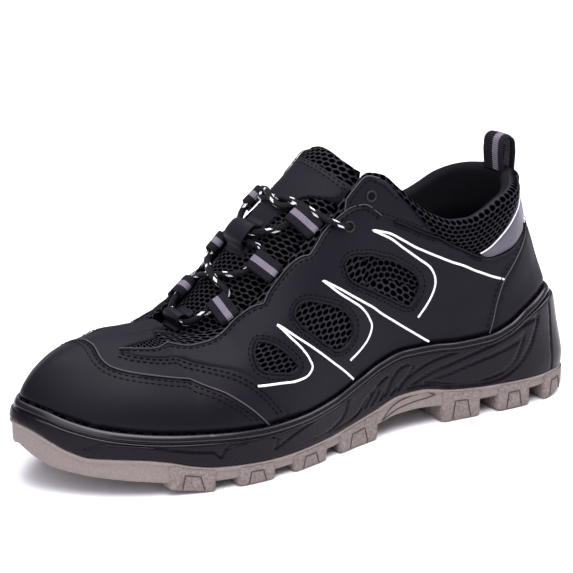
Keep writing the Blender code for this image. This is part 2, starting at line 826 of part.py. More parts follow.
def middle_block(rear, front, half_width):
    x = np.linspace(rear, front, 3) * LENGTH
    outer_side, inner_side = outline_sides()
    high_y = np.interp(x, outer_side[:, 0], outer_side[:, 1])
    low_y = np.interp(x, inner_side[:, 0], inner_side[:, 1])
    middle = (high_y + low_y) / 2 * (0 if front < 0.3 else 1)
    outer = np.stack([x, middle + half_width * np.array([0.7, 1, 0.7])], 1)
    inner = np.stack([x, middle - half_width * np.array([0.7, 1, 0.7])], 1)

    def low(at):
        return smooth(TREAD, 4)(at / LENGTH) * SPLIT_HEIGHT

    def high(at):
        return smooth(TREAD, 3)(at / LENGTH) * SPLIT_HEIGHT + 0.0010

    return block_solid(outer, inner, low, high, LUG_TAPER)


def combine(target, tool, how):
    """An exact Boolean, after which the tool is removed."""
    step = target.modifiers.new("step", "BOOLEAN")
    step.operation = how
    step.solver = "EXACT"
    step.object = tool
    tool.hide_render = True
    tool.display_type = "WIRE"
    bpy.context.view_layer.update()
    graph = bpy.context.evaluated_depsgraph_get()
    mesh = bpy.data.meshes.new_from_object(target.evaluated_get(graph))
    target.modifiers.clear()
    work = bmesh.new()
    work.from_mesh(mesh)
    bmesh.ops.remove_doubles(work, verts=work.verts, dist=0.000005)
    bmesh.ops.dissolve_degenerate(work, edges=work.edges, dist=0.000002)
    bmesh.ops.triangulate(work, faces=work.faces)
    work.to_mesh(mesh)
    work.free()
    old = target.data
    target.data = mesh
    while len(mesh.materials) > 1:
        mesh.materials.pop()
    bpy.data.meshes.remove(old)
    bpy.data.objects.remove(tool)


def make_insole():
    loop = outline_loop(SIDE_STATIONS)
    bed = level(LEVELS, 1, loop, BACK_HEIGHT)
    foot = rib_handles(loop)[0]
    around = moved_in(foot, UPPER_WALL + INSOLE_GAP)
    rings = [
        ring_points(moved_in(around, 0.0006), bed + GAP),
        ring_points(around, bed + GAP + 0.0008),
        ring_points(around, bed + INSOLE - 0.0012),
        ring_points(moved_in(around, 0.0012), bed + INSOLE),
    ]
    points, faces = stacked_rings(rings)
    return make_object("insole", points, faces, "Insole", (0.05, 0.05, 0.06), 0.9)


def tongue_frame(at):
    """The tongue's middle point, forward direction and normal where it passes a station."""
    rows = np.array(TONGUE)[:, :2] * (LENGTH, BACK_HEIGHT)
    height = smooth([(x, z) for x, z in rows[::-1]], 1)
    x = at * LENGTH
    x = np.clip(x, rows[-1, 0], rows[0, 0])
    slope = (height(x + 0.0004) - height(x - 0.0004)) / 0.0008
    forward = np.array([1, 0, float(slope)]) / math.hypot(1, slope)
    normal = np.array([-forward[2], 0, forward[0]])
    aside = smooth(RIDGE, 1)(at) + (smooth(RIBS, 1)(at) - smooth(RIBS, 2)(at)) / 2
    middle = np.array([x, float(aside) * BALL_WIDTH, float(height(x))])
    return middle, forward, normal


def tongue_value(at, column):
    return float(smooth(sorted(TONGUE), column)(at))


def tongue_top(at, across):
    """The tongue's upper surface: a point and its normal."""
    middle, _, normal = tongue_frame(at)
    half = tongue_value(at, 2) * BALL_WIDTH
    drop = tongue_value(at, 3) * BALL_WIDTH
    share = across / half
    point = middle - normal * drop * share**2
    point[1] += across
    lean = np.array([0, 2 * drop * share / half, 0])
    out = normal + lean
    return point, out / np.linalg.norm(out)


def make_tongue():
    """A padded tongue from inside the vamp up past the collar."""
    across = np.linspace(-1, 1, TONGUE_COLUMNS + 1)
    top, bottom = [], []
    for row in TONGUE:
        at, half, thick = row[0], row[2] * BALL_WIDTH, row[4]
        for share in across:
            point, normal = tongue_top(at, share * half * 0.999)
            depth = thick * (1 - 0.72 * share**4)
            top.append(point)
            bottom.append(point - normal * depth)
    wide = TONGUE_COLUMNS + 1
    count = len(top)
    points = top + bottom
    faces = []
    for r in range(len(TONGUE) - 1):
        for c in range(TONGUE_COLUMNS):
            a = r * wide + c
            faces.append([a, a + 1, a + wide + 1, a + wide])
            faces.append([count + a, count + a + wide, count + a + wide + 1, count + a + 1])
    border = list(range(wide))
    border += [r * wide + TONGUE_COLUMNS for r in range(1, len(TONGUE))]
    border += [(len(TONGUE) - 1) * wide + c for c in range(TONGUE_COLUMNS - 1, -1, -1)]
    border += [r * wide for r in range(len(TONGUE) - 2, 0, -1)]
    for i, a in enumerate(border):
        b = border[(i + 1) % len(border)]
        faces.append([b, a, count + a, count + b])
    return make_object("tongue", points, faces, "Tongue", (0.02, 0.02, 0.025), 0.85)


def edge_point(at, side):
    """The throat's edge at a station, and a point a little way down the upper from it."""
    loop = outline_loop(SIDE_STATIONS)
    half = len(loop) // 2
    order = np.arange(half + 1) if side > 0 else (len(loop) - np.arange(half + 1)) % len(loop)
    outer, _, normals, _ = upper_skins(loop, rib_rows(RIB_ROWS))
    x = loop[order, 0] / LENGTH

    def read(grid, row):
        return np.array([np.interp(at, x, grid[order, row, axis]) for axis in range(3)])

    return read(outer, -1), read(outer, -4), read(normals, -3)


def extruded(name, contour, hole, origin, axes, half_width, material, colour):
    """A flat contour, with a hole of as many points or none, made into a band."""
    across, up, along = axes
    count = len(contour)
    flat = list(contour) + list(hole or [])
    points = []
    for shift in (-half_width, half_width):
        for a, b in flat:
            points.append(origin + across * a + up * b + along * shift)
    total = len(flat)
    faces = []
    for i in range(count):
        j = (i + 1) % count
        faces.append([i, j, total + j, total + i])
        if hole:
            faces.append([count + j, count + i, total + count + i, total + count + j])
            faces.append([i, count + i, count + j, j])
            faces.append([total + i, total + j, total + count + j, total + count + i])
    if not hole:
        half = count // 2
        for i in range(half - 1):
            strip = [i, i + 1, count - 2 - i, count - 1 - i]
            faces.append(strip[::-1])
            faces.append([total + k for k in strip])
    return make_object(name, points, faces, material, colour, 0.85)


def loop_frame(at, side):
    """Where a webbing loop sits: its origin on the upper and its three axes."""
    edge, below, normal = edge_point(at, side)
    ahead, _, _ = edge_point(at + 0.015, side)
    behind, _, _ = edge_point(at - 0.015, side)
    along = (behind - ahead) / np.linalg.norm(behind - ahead)
    ridge = smooth(RIDGE, 1)(at) * BALL_WIDTH
    inside, _ = tongue_top(at, edge[1] - ridge - side * 0.009)
    start = edge + (below - edge) * (0.0035 / np.linalg.norm(below - edge))
    across = inside - start
    across -= along * np.dot(across, along)
    across /= np.linalg.norm(across)
    up = np.cross(along, across)
    if np.dot(up, normal) < 0:
        up = -up
    lift = max(np.dot(edge - start, up), 0) + 0.0010
    return start + up * lift, across, up, along


LOOP_OUTSIDE = (  # across, up
    (0.0000, 0.0000),
    (0.0090, -0.0002),
    (0.0145, 0.0000),
    (0.0172, 0.0014),
    (0.0178, 0.0034),
    (0.0166, 0.0056),
    (0.0140, 0.0064),
    (0.0090, 0.0058),
    (0.0040, 0.0036),
    (0.0000, 0.0022),
)
LOOP_INSIDE = (  # across, up
    (0.0060, 0.0012),
    (0.0095, 0.0010),
    (0.0142, 0.0011),
    (0.0160, 0.0020),
    (0.0166, 0.0034),
    (0.0157, 0.0048),
    (0.0138, 0.0053),
    (0.0095, 0.0047),
    (0.0070, 0.0034),
    (0.0060, 0.0022),
)
LACE_IN_LOOP = (0.0142, 0.0032)  # across, up


def make_loops():
    for number, at in enumerate(LOOPS_ALONG, 1):
        for side, word in ((1, "outer"), (-1, "inner")):
            origin, across, up, along = loop_frame(at, side)
            extruded(
                f"lace_loop_{word}_{number}",
                LOOP_OUTSIDE,
                LOOP_INSIDE,
                origin,
                (across, up, along),
                LOOP_WIDTH / 2,
                "Webbing",
                (0.04, 0.04, 0.05),
            )


def make_keepers():
    for name, along, half_width, tunnel, reach in KEEPERS:
        tall = 2 * LACE_RADIUS + 0.0022
        top = [
            (-reach, 0.0020),
            (-tunnel - 0.0012, 0.0024),
            (-tunnel * 0.75, tall + 0.0010),
            (0, tall + 0.0020),
            (tunnel * 0.75, tall + 0.0010),
            (tunnel + 0.0012, 0.0024),
            (reach, 0.0020),
        ]
        under = [
            (-reach, 0.0009),
            (-tunnel, 0.0009),
            (-tunnel * 0.70, tall - 0.0006),
            (0, tall + 0.0004),
            (tunnel * 0.70, tall - 0.0006),
            (tunnel, 0.0009),
            (reach, 0.0009),
        ]
        contour = top + under[::-1]
        forward = tongue_frame(along)[1]
        rings = []
        for across in (-1, 0, 1):
            for step, height in contour:
                place = along + step * forward[0] / LENGTH
                point, normal = tongue_top(place, across * half_width)
                rings.append(point + normal * height)
        count, half = len(contour), len(top)
        faces = []
        for r in range(2):
            for i in range(count):
                a, b = r * count + i, r * count + (i + 1) % count
                faces.append([a, b, b + count, a + count])
        for i in range(half - 1):
            strip = [i, i + 1, count - 2 - i, count - 1 - i]
            faces.append(strip[::-1])
            faces.append([2 * count + k for k in strip])
        make_object(name, rings, faces, "Keeper", (0.02, 0.02, 0.022))


def lace_over_tongue(at, across, lift=0.0):
    point, normal = tongue_top(at, across)
    return point + normal * (LACE_RADIUS + 0.0009 + lift)


def lace_in_loop(at, side, shift):
    origin, across, up, along = loop_frame(at, side)
    return origin + across * LACE_IN_LOOP[0] + up * LACE_IN_LOOP[1] + along * shift


def crossing(place, way, side):
    """Points over the tongue, forwards for way 1 and rearwards for -1, from a side."""
    centre, spread = place
    aside = side * BALL_WIDTH * 0.075
    return [
        lace_over_tongue(centre - way * spread, aside, 0.0004),
        lace_over_tongue(centre, 0, 0.0002),
        lace_over_tongue(centre + way * spread, -aside, 0.0004),
    ]


def turn(at, side, way):
    """Points through a loop, rearwards for way 1 and forwards for way -1."""
    reach = LOOP_WIDTH / 2 + LACE_RADIUS
    return [lace_in_loop(at, side, way * share * reach) for share in (-1, 0, 1)]


def eyelet_end(side):
    edge, below, normal = edge_point(TOP_EYELET, side)
    away = (below - edge) / np.linalg.norm(below - edge)
    over = edge + normal * (LACE_RADIUS + 0.0010)
    end = edge + away * 0.0105 + normal * (LACE_RADIUS + OVERLAY + 2 * GAP + 0.0006)
    return [over - away * 0.004 + np.array([0, 0, 0.0008]), end]


def tube(name, path, radius, sides):
    path = rounded(path)
    ahead = np.gradient(path, axis=0)
    ahead /= np.linalg.norm(ahead, axis=1)[:, None]
    across = np.cross(ahead[0], (0, 0, 1))
    points = []
    for middle, tangent in zip(path, ahead):
        across = across - tangent * np.dot(across, tangent)
        across /= np.linalg.norm(across)
        up = np.cross(tangent, across)
        for k in range(sides):
            angle = 2 * math.pi * k / sides
            points.append(middle + radius * (across * math.cos(angle) + up * math.sin(angle)))
    faces = []
    for i in range(len(path) - 1):
        for k in range(sides):
            a, b = i * sides + k, i * sides + (k + 1) % sides
            faces.append([a, b, b + sides, a + sides])
    last = (len(path) - 1) * sides
    faces.append(list(range(sides))[::-1])
    faces.append([last + k for k in range(sides)])
    return make_object(name, points, faces, "Lace", (0.03, 0.03, 0.035), 0.9)


def rounded(path):
    """The points with one more between each two, on a smooth curve through them."""
    path = np.array(path)
    ends = [2 * path[0] - path[1]], [2 * path[-1] - path[-2]]
    wide = np.concatenate([ends[0], path, ends[1]])
    between = (9 * (wide[1:-2] + wide[2:-1]) - wide[:-3] - wide[3:]) / 16
    points = np.empty((2 * len(path) - 1, 3))
    points[0::2] = path
    points[1::2] = between
    return points


def make_laces():
    """One lace in two halves, joined where they cross over the tongue and in a loop."""
    low, middle, high = LOOPS_ALONG
    lower, centre, upper = CROSSINGS
    bar = KEEPERS[0][1]
    first = eyelet_end(1)[::-1] + crossing(upper, 1, 1)
    first += turn(high, -1, -1) + crossing(centre, 1, -1)
    first += turn(middle, 1, -1) + crossing(lower, 1, 1)
    first += turn(low, -1, -1)
    first += [lace_over_tongue(bar, -BALL_WIDTH * 0.075, 0.0004)]
    first += [lace_over_tongue(bar, 0, 0.0004)]
    first += [lace_over_tongue(bar, BALL_WIDTH * 0.075, 0.0004)]
    first += turn(low, 1, 1)[:2]
    second = [lace_in_loop(low, 1, -0.0008), lace_in_loop(low, 1, 0.0012)]
    second += turn(low, 1, 1)[2:] + crossing(lower, -1, 1)
    second += turn(middle, -1, 1) + crossing(centre, -1, -1)
    second += turn(high, 1, 1) + crossing(upper, -1, 1)
    second += eyelet_end(-1)
    laces = tube("laces", first, LACE_RADIUS, LACE_SIDES)
    combine(laces, tube("lace_half", second, LACE_RADIUS * 0.92, LACE_SIDES), "UNION")
    return laces


def make_pull_loop():
    """A webbing loop over the collar at the back, one leg outside and one inside."""
    loop = outline_loop(SIDE_STATIONS)
    outer, inner, _, _ = upper_skins(loop, rib_rows(RIB_ROWS))
    ribs = np.arange(-4, 5)[::-1]
    columns = np.linspace(-1, 1, 5) * PULL_HALF_WIDTH

    def read(grid, row, y):
        line = grid[ribs, row]
        line = line[np.argsort(line[:, 1])]
        return np.interp(y, line[:, 1], line[:, 0]), np.interp(y, line[:, 1], line[:, 2])

    paths = []
    for y in columns:
        crest_x, crest_z = read(outer, -1, y)
        foot = crest_z - 0.0008
        top = BACK_HEIGHT + PULL_RISE - PULL_STRAP / 2
        side = [(0.42, foot), (0.47, foot + 0.004), (0.50, top - 0.006), (0.34, top - 0.0012)]
        path = [(crest_x - PULL_DEPTH * share, z) for share, z in side]
        path.append((crest_x, top))
        path += [(crest_x + PULL_DEPTH * share, z) for share, z in side[::-1]]
        paths.append(np.array(path))
    count = len(paths[0])
    points = []
    for face in (1, -1):
        for y, path in zip(columns, paths):
            ahead = np.gradient(path, axis=0)
            ahead /= np.linalg.norm(ahead, axis=1)[:, None]
            normal = np.stack([-ahead[:, 1], ahead[:, 0]], 1) * PULL_STRAP / 2 * face
            for x, z in path + normal:
                points.append((x, y, z))
    half = len(points) // 2
    faces = []
    for c in range(len(columns) - 1):
        for r in range(count - 1):
            a = c * count + r
            faces.append([a, a + 1, a + count + 1, a + count])
            faces.append([half + a, half + a + count, half + a + count + 1, half + a + 1])
    border = list(range(count))
    border += [c * count + count - 1 for c in range(1, len(columns))]
    border += [(len(columns) - 1) * count + r for r in range(count - 2, -1, -1)]
    border += [c * count for c in range(len(columns) - 2, 0, -1)]
    for i, a in enumerate(border):
        b = border[(i + 1) % len(border)]
        faces.append([b, a, half + a, half + b])
    return make_object("pull_loop", points, faces, "Webbing", (0.04, 0.04, 0.05), 0.85)


def panel_rows(loop, rows):
    """For each rib, the row shares where a panel starts, over the rim, and where it ends."""
    rim = level(LEVELS, 2, loop, BACK_HEIGHT) + 0.0006
    grid = upper_grid(loop, rows)
    low = np.array([np.interp(z, line[:6, 2], rows[:6]) for z, line in zip(rim, grid)])
    return low, np.full(len(loop), rows[-3])


def skin_place(grid, u, v):
    """A value on the skin's own triangles. u counts ribs and v counts rows."""
    n, m = grid.shape[:2]
    i, k = math.floor(u), min(math.floor(v), m - 2)
    a, b = u - i, v - k
    here, j = i % n, (i + 1) % n
    if b <= a:
        return grid[here, k] * (1 - a) + grid[j, k] * (a - b) + grid[j, k + 1] * b
    return grid[here, k] * (1 - b) + grid[here, k + 1] * (b - a) + grid[j, k + 1] * a


def inside(point, loops):
    """Whether a flat point is within the first loop and outside the others."""
    x, y = point
    crossings = 0
    for loop in loops:
        for (ax, ay), (bx, by) in zip(loop, np.roll(loop, -1, 0)):
            if (ay > y) != (by > y) and x < (bx - ax) * (y - ay) / (by - ay) + ax:
                crossings += 1
    return crossings % 2 == 1


def cut_finely(loop, step):
    """A closed loop with extra points, so that none is further than a step from the next."""
    found = []
    for here, ahead in zip(loop, np.roll(loop, -1, 0)):
        parts = max(1, math.ceil(np.abs(ahead - here).max() / step))
        found += [here + (ahead - here) * k / parts for k in range(parts)]
    return np.array(found)


def make_panel(name, border, holes, side, material, colour):
    """A panel that lies on the upper. Borders are tables of round and up: round is 0 at the
    heel's back and 1 at the toe tip, up is 0 at the sole's rim and 1 at the upper's edge."""
    loop = outline_loop(SIDE_STATIONS)
    rows = rib_rows(RIB_ROWS)
    outer, _, normals, _ = upper_skins(loop, rows)
    low, high = panel_rows(loop, rows)
    count = len(loop)
    flat = []
    for number, table in enumerate([border, *holes]):
        line = np.array(table, float) * (SIDE_STATIONS * side, 1)
        line = cut_finely(line, 1.2) if number == 0 else line
        at = line[:, 0] % count
        ribs = np.arange(count + 1)
        start = np.interp(at, ribs, np.append(low, low[0]))
        end = np.interp(at, ribs, np.append(high, high[0]))
        height = start + (end - start) * line[:, 1]
        line[:, 1] = np.interp(height, rows, np.arange(len(rows)))
        flat.append(line)
    every = np.concatenate(flat)
    first, last = math.floor(every[:, 0].min()), math.ceil(every[:, 0].max())
    points = [tuple(p) for p in every]
    edges = []
    base = 0
    for line in flat:
        edges += [(base + k, base + (k + 1) % len(line)) for k in range(len(line))]
        base += len(line)
    m = len(rows) - 1
    number = {}
    for i in range(first, last + 1):
        for k in range(m):
            number[i, k] = len(points)
            points.append((i, k))
    for (i, k), here in number.items():
        for near in ((i + 1, k), (i, k + 1), (i + 1, k + 1)):
            if near in number:
                edges.append((here, number[near]))
    found, _, triangles, *_ = delaunay_2d_cdt([Vector(p) for p in points], edges, [], 0, 1e-6)
    kept = []
    for triangle in triangles:
        centre = sum((found[t] for t in triangle), Vector((0, 0))) / 3
        if inside(centre, flat):
            kept.append(list(triangle))
    used = sorted({t for triangle in kept for t in triangle})
    fresh = {t: i for i, t in enumerate(used)}
    kept = [[fresh[t] for t in triangle] for triangle in kept]
    under, over = [], []
    for t in used:
        place = skin_place(outer, *found[t])
        out = skin_place(normals, *found[t])
        under.append(place + out * GAP)
        over.append(place + out * (GAP + OVERLAY))
    return make_object(name, *thickened(under, over, kept), material, colour, 0.75)


def thickened(under, over, triangles):
    """Points and faces of a sheet with two skins, closed along its borders."""
    count = len(under)
    faces = [[count + t for t in triangle] for triangle in triangles]
    faces += [triangle[::-1] for triangle in triangles]
    edges = {(t[k], t[(k + 1) % len(t)]) for t in triangles for k in range(len(t))}
    for a, b in edges:
        if (b, a) not in edges:
            faces.append([a, b, count + b, count + a])
    return list(under) + list(over), faces


def make_panels():
    black = (0.02, 0.02, 0.023)
    make_panel("toe_cap", TOE_CAP, [], 1, "Panel", black)
    make_panel("heel_counter", COUNTER, [], 1, "Panel", black)
    make_panel("reflective_heel", REFLECTIVE, [], 1, "Reflective", (0.25, 0.25, 0.3))
    for side, word in ((1, "outer"), (-1, "inner")):
        make_panel(f"quarter_{word}", QUARTER, WINDOWS, side, "Panel", black)
        make_panel(f"eyestay_tab_{word}", TAB, [], side, "Panel", black)


def make_blade():
    """The band on the vamp's ridge, laid over the upper seen from above."""
    loop = outline_loop(SIDE_STATIONS)
    outer = upper_skins(loop, rib_rows(RIB_ROWS))[0]
    points, index = point_keys(outer)
    tree = BVHTree.FromPolygons([tuple(p) for p in points], skin_triangles(index))
    under, over = [], []
    for along, half_width in BLADE:
        middle = smooth(RIDGE, 1)(along) * BALL_WIDTH
        for share in (-1, -0.5, 0, 0.5, 1):
            x, y = along * LENGTH, float(middle) + share * half_width * BALL_WIDTH
            hit = tree.ray_cast(Vector((x, y, 1)), Vector((0, 0, -1)))[0]
            under.append((x, y, hit.z + GAP + 0.0003))
            over.append((x, y, hit.z + GAP + 0.0003 + OVERLAY))
    triangles = []
    for r in range(len(BLADE) - 1):
        for c in range(4):
            a = r * 5 + c
            triangles += [[a, a + 6, a + 1], [a, a + 5, a + 6]]
    shape = thickened(under, over, triangles)
    return make_object("vamp_blade", *shape, "Panel", (0.02, 0.02, 0.023), 0.75)


def main():
    for obj in list(bpy.data.objects):
        bpy.data.objects.remove(obj)
    make_outsole()
    make_midsole()
    make_upper()
    make_insole()
    make_tongue()
    make_panels()
    make_blade()
    make_loops()
    make_keepers()
    make_laces()
    make_pull_loop()


main()
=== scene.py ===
"""Looks of a low safety shoe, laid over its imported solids. Metres, toe along +X, up +Z."""

import math

import bmesh
import bpy
import numpy as np
from mathutils import Matrix, Vector
from mathutils.geometry import delaunay_2d_cdt
from mathutils.kdtree import KDTree


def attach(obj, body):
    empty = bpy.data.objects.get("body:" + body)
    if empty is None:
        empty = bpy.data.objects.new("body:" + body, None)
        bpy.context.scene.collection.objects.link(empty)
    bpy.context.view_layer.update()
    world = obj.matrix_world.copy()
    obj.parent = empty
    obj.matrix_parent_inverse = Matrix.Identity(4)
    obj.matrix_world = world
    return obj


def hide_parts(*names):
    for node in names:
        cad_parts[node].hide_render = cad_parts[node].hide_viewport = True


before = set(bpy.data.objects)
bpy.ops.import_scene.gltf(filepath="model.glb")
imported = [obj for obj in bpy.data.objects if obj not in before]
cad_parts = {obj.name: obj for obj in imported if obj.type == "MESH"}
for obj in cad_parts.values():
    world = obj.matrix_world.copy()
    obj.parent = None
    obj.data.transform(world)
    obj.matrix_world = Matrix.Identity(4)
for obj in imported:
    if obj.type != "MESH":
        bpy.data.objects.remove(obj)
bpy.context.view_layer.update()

LENGTH = 0.300  # sole, heel back to toe tip
BALL_WIDTH = 0.110  # sole at the ball of the foot
BACK_HEIGHT = 0.116  # floor to the collar at the back
SPLIT_HEIGHT = 0.015  # grey outsole's height at the heel
HEEL_REST = 0.0465  # heel back to the origin

# Walls and gaps
UPPER_WALL = 0.0022
COLLAR_PAD = 0.0075  # wall of the padded collar
OVERLAY = 0.0012  # toe cap, counter and quarter panels
GAP = 0.0003  # between pieces that touch
CUP_GAP = 0.00045  # between the curved upper and the midsole's cup
RIM_WALL = 0.0028  # midsole's rim round the upper
FEATHER_INSET = 0.0046  # sole's outline in to the upper's bottom edge
INSOLE = 0.0045
INSOLE_GAP = 0.0009
SIDE_INSET = 0.0006  # sole's outline in to the midsole's side
TRAY_WALL = 0.0038  # sole's outline in to the outsole's tray

# Mesh density
SIDE_STATIONS = 150  # spaces from heel back to toe tip, on each side
SIDE_ROWS = 64  # rows from the sole up to where the upper's edge turns in
TONGUE_ROWS = 64
PATCH_ROWS = 34  # rows of the leather panel on the tongue

# Metres on the upper for 1 of round and for 1 of up, the columns of the panel tables
FLAT_SIZE = (0.350, 0.100)

# Where the ribs stop being parallel and fan round the heel and the toe, as shares of LENGTH
HEEL_CENTRE = 0.155
TOE_CENTRE = 0.76

# The sole's outline. Shares of LENGTH and BALL_WIDTH
OUTLINE = (  # along, across
    (0.000, 0.000),
    (0.005, 0.140),
    (0.018, 0.250),
    (0.062, 0.328),
    (0.155, 0.357),
    (0.267, 0.341),
    (0.367, 0.335),
    (0.467, 0.385),
    (0.567, 0.467),
    (0.650, 0.504),
    (0.733, 0.493),
    (0.817, 0.436),
    (0.893, 0.333),
    (0.950, 0.205),
    (0.988, 0.075),
    (1.000, -0.025),
    (0.985, -0.125),
    (0.955, -0.235),
    (0.905, -0.345),
    (0.835, -0.428),
    (0.745, -0.475),
    (0.650, -0.470),
    (0.567, -0.425),
    (0.467, -0.350),
    (0.367, -0.309),
    (0.267, -0.318),
    (0.155, -0.345),
    (0.062, -0.318),
    (0.018, -0.240),
    (0.005, -0.130),
)

# The foot's ridge line, which the ribs meet or point to. Shares of LENGTH and BALL_WIDTH
RIDGE = (  # along, across
    (0.00, 0.000),
    (0.33, -0.005),
    (0.50, -0.020),
    (0.67, -0.035),
    (0.83, -0.045),
    (1.00, -0.045),
)

# The upper's ribs, from the sole up to the collar or the ridge. along is a share of LENGTH,
# outer_edge and inner_edge of BALL_WIDTH from the ridge, edge_up of BACK_HEIGHT. wall_out
# and shoulder_out are shares of the rib's foot radius, wall_up and shoulder_down of its rise.
RIBS = (  # along, outer_edge, inner_edge, edge_up, wall_out, wall_up, shoulder_out, shoulder_down
    (0.000, 0.222, 0.222, 1.000, -0.08, 0.27, 0.03, 0.33),
    (0.030, 0.212, 0.212, 0.998, -0.08, 0.27, 0.03, 0.33),
    (0.080, 0.236, 0.236, 0.988, -0.05, 0.28, 0.02, 0.33),
    (0.155, 0.290, 0.290, 0.945, 0.02, 0.31, 0.00, 0.33),
    (0.195, 0.304, 0.300, 0.898, 0.05, 0.34, -0.02, 0.32),
    (0.225, 0.306, 0.300, 0.875, 0.06, 0.35, -0.03, 0.32),
    (0.255, 0.304, 0.298, 0.878, 0.06, 0.36, -0.02, 0.32),
    (0.295, 0.296, 0.288, 0.918, 0.06, 0.37, 0.00, 0.31),
    (0.325, 0.287, 0.278, 0.977, 0.05, 0.39, 0.02, 0.30),
    (0.355, 0.277, 0.266, 1.054, 0.05, 0.40, 0.05, 0.28),
    (0.385, 0.268, 0.257, 1.122, 0.05, 0.41, 0.08, 0.27),
    (0.412, 0.262, 0.251, 1.137, 0.05, 0.42, 0.10, 0.26),
    (0.432, 0.260, 0.248, 1.094, 0.05, 0.42, 0.12, 0.25),
    (0.460, 0.260, 0.248, 1.024, 0.05, 0.42, 0.15, 0.24),
    (0.500, 0.261, 0.247, 0.937, 0.05, 0.42, 0.18, 0.24),
    (0.550, 0.261, 0.246, 0.840, 0.05, 0.42, 0.22, 0.22),
    (0.585, 0.260, 0.244, 0.758, 0.05, 0.42, 0.26, 0.20),
    (0.633, 0.252, 0.237, 0.657, 0.04, 0.43, 0.30, 0.19),
    (0.675, 0.226, 0.214, 0.588, 0.04, 0.45, 0.34, 0.17),
    (0.705, 0.184, 0.174, 0.563, 0.04, 0.48, 0.38, 0.13),
    (0.730, 0.124, 0.117, 0.555, 0.03, 0.50, 0.43, 0.08),
    (0.745, 0.062, 0.058, 0.556, 0.03, 0.52, 0.47, 0.03),
    (0.752, 0.000, 0.000, 0.558, 0.03, 0.53, 0.49, 0.00),
    (0.775, 0.000, 0.000, 0.559, 0.02, 0.56, 0.52, 0.00),
    (0.850, 0.000, 0.000, 0.559, 0.03, 0.66, 0.57, 0.00),
    (1.000, 0.000, 0.000, 0.559, 0.05, 0.76, 0.60, 0.00),
)

# Heights along the sole. Shares of LENGTH, and of BACK_HEIGHT for the rest
LEVELS = (  # along, footbed, rim
    (0.000, 0.259, 0.488),
    (0.030, 0.259, 0.486),
    (0.065, 0.258, 0.472),
    (0.115, 0.256, 0.435),
    (0.155, 0.254, 0.385),
    (0.195, 0.251, 0.358),
    (0.255, 0.246, 0.353),
    (0.305, 0.239, 0.362),
    (0.355, 0.231, 0.362),
    (0.405, 0.219, 0.334),
    (0.445, 0.208, 0.296),
    (0.505, 0.190, 0.250),
    (0.575, 0.172, 0.230),
    (0.645, 0.164, 0.226),
    (0.705, 0.164, 0.232),
    (0.775, 0.171, 0.244),
    (0.845, 0.185, 0.262),
    (0.905, 0.203, 0.286),
    (0.945, 0.216, 0.316),
    (0.972, 0.224, 0.345),
    (1.000, 0.228, 0.366),
)

# The tongue's upper surface, from inside the vamp to its top. Shares of LENGTH and
# BACK_HEIGHT, then of BALL_WIDTH for its half width and how far its sides drop. thick in metres
TONGUE = (  # along, up, half_width, side_drop, thick
    (0.790, 0.500, 0.100, 0.012, 0.0016),
    (0.755, 0.503, 0.150, 0.026, 0.0022),
    (0.715, 0.530, 0.190, 0.050, 0.0032),
    (0.670, 0.632, 0.222, 0.082, 0.0042),
    (0.625, 0.750, 0.240, 0.110, 0.0050),
    (0.585, 0.862, 0.245, 0.130, 0.0056),
    (0.545, 0.965, 0.245, 0.140, 0.0060),
    (0.505, 1.058, 0.238, 0.140, 0.0064),
    (0.470, 1.140, 0.230, 0.132, 0.0070),
    (0.448, 1.196, 0.218, 0.116, 0.0066),
    (0.440, 1.218, 0.196, 0.088, 0.0050),
)

LACE_RADIUS = 0.0016
# Webbing loops along the throat, and the two bridges on the tongue. Shares of LENGTH
LOOPS_ALONG = (0.668, 0.588, 0.514)
LOOP_WIDTH = 0.0105
# half_width, tunnel and reach in metres
KEEPERS = (  # name, along, half_width, tunnel, reach
    ("lace_keeper_lower", 0.700, 0.0062, 0.0034, 0.0068),
    ("lace_keeper_middle", 0.580, 0.0070, 0.0066, 0.0098),
)
CROSSINGS = (  # along, spread. Shares of LENGTH
    (0.635, 0.007),
    (0.580, 0.008),
    (0.527, 0.007),
)
LACE_ASIDE = 0.075  # of BALL_WIDTH, from the middle to where the lace leaves a crossing
EYELET_PATH = (  # round, up, metres over the upper
    (0.484, 1.0, 0.0032),
    (0.472, 0.94, 0.0031),
    (0.462, 0.892, 0.0020),
    (0.459, 0.880, -0.001),
)

# Pull loop: its half width, strap, rise over the collar and depth at the top
PULL_HALF_WIDTH = 0.008
PULL_STRAP = 0.0013
PULL_RISE = 0.0165
PULL_DEPTH = 0.0075

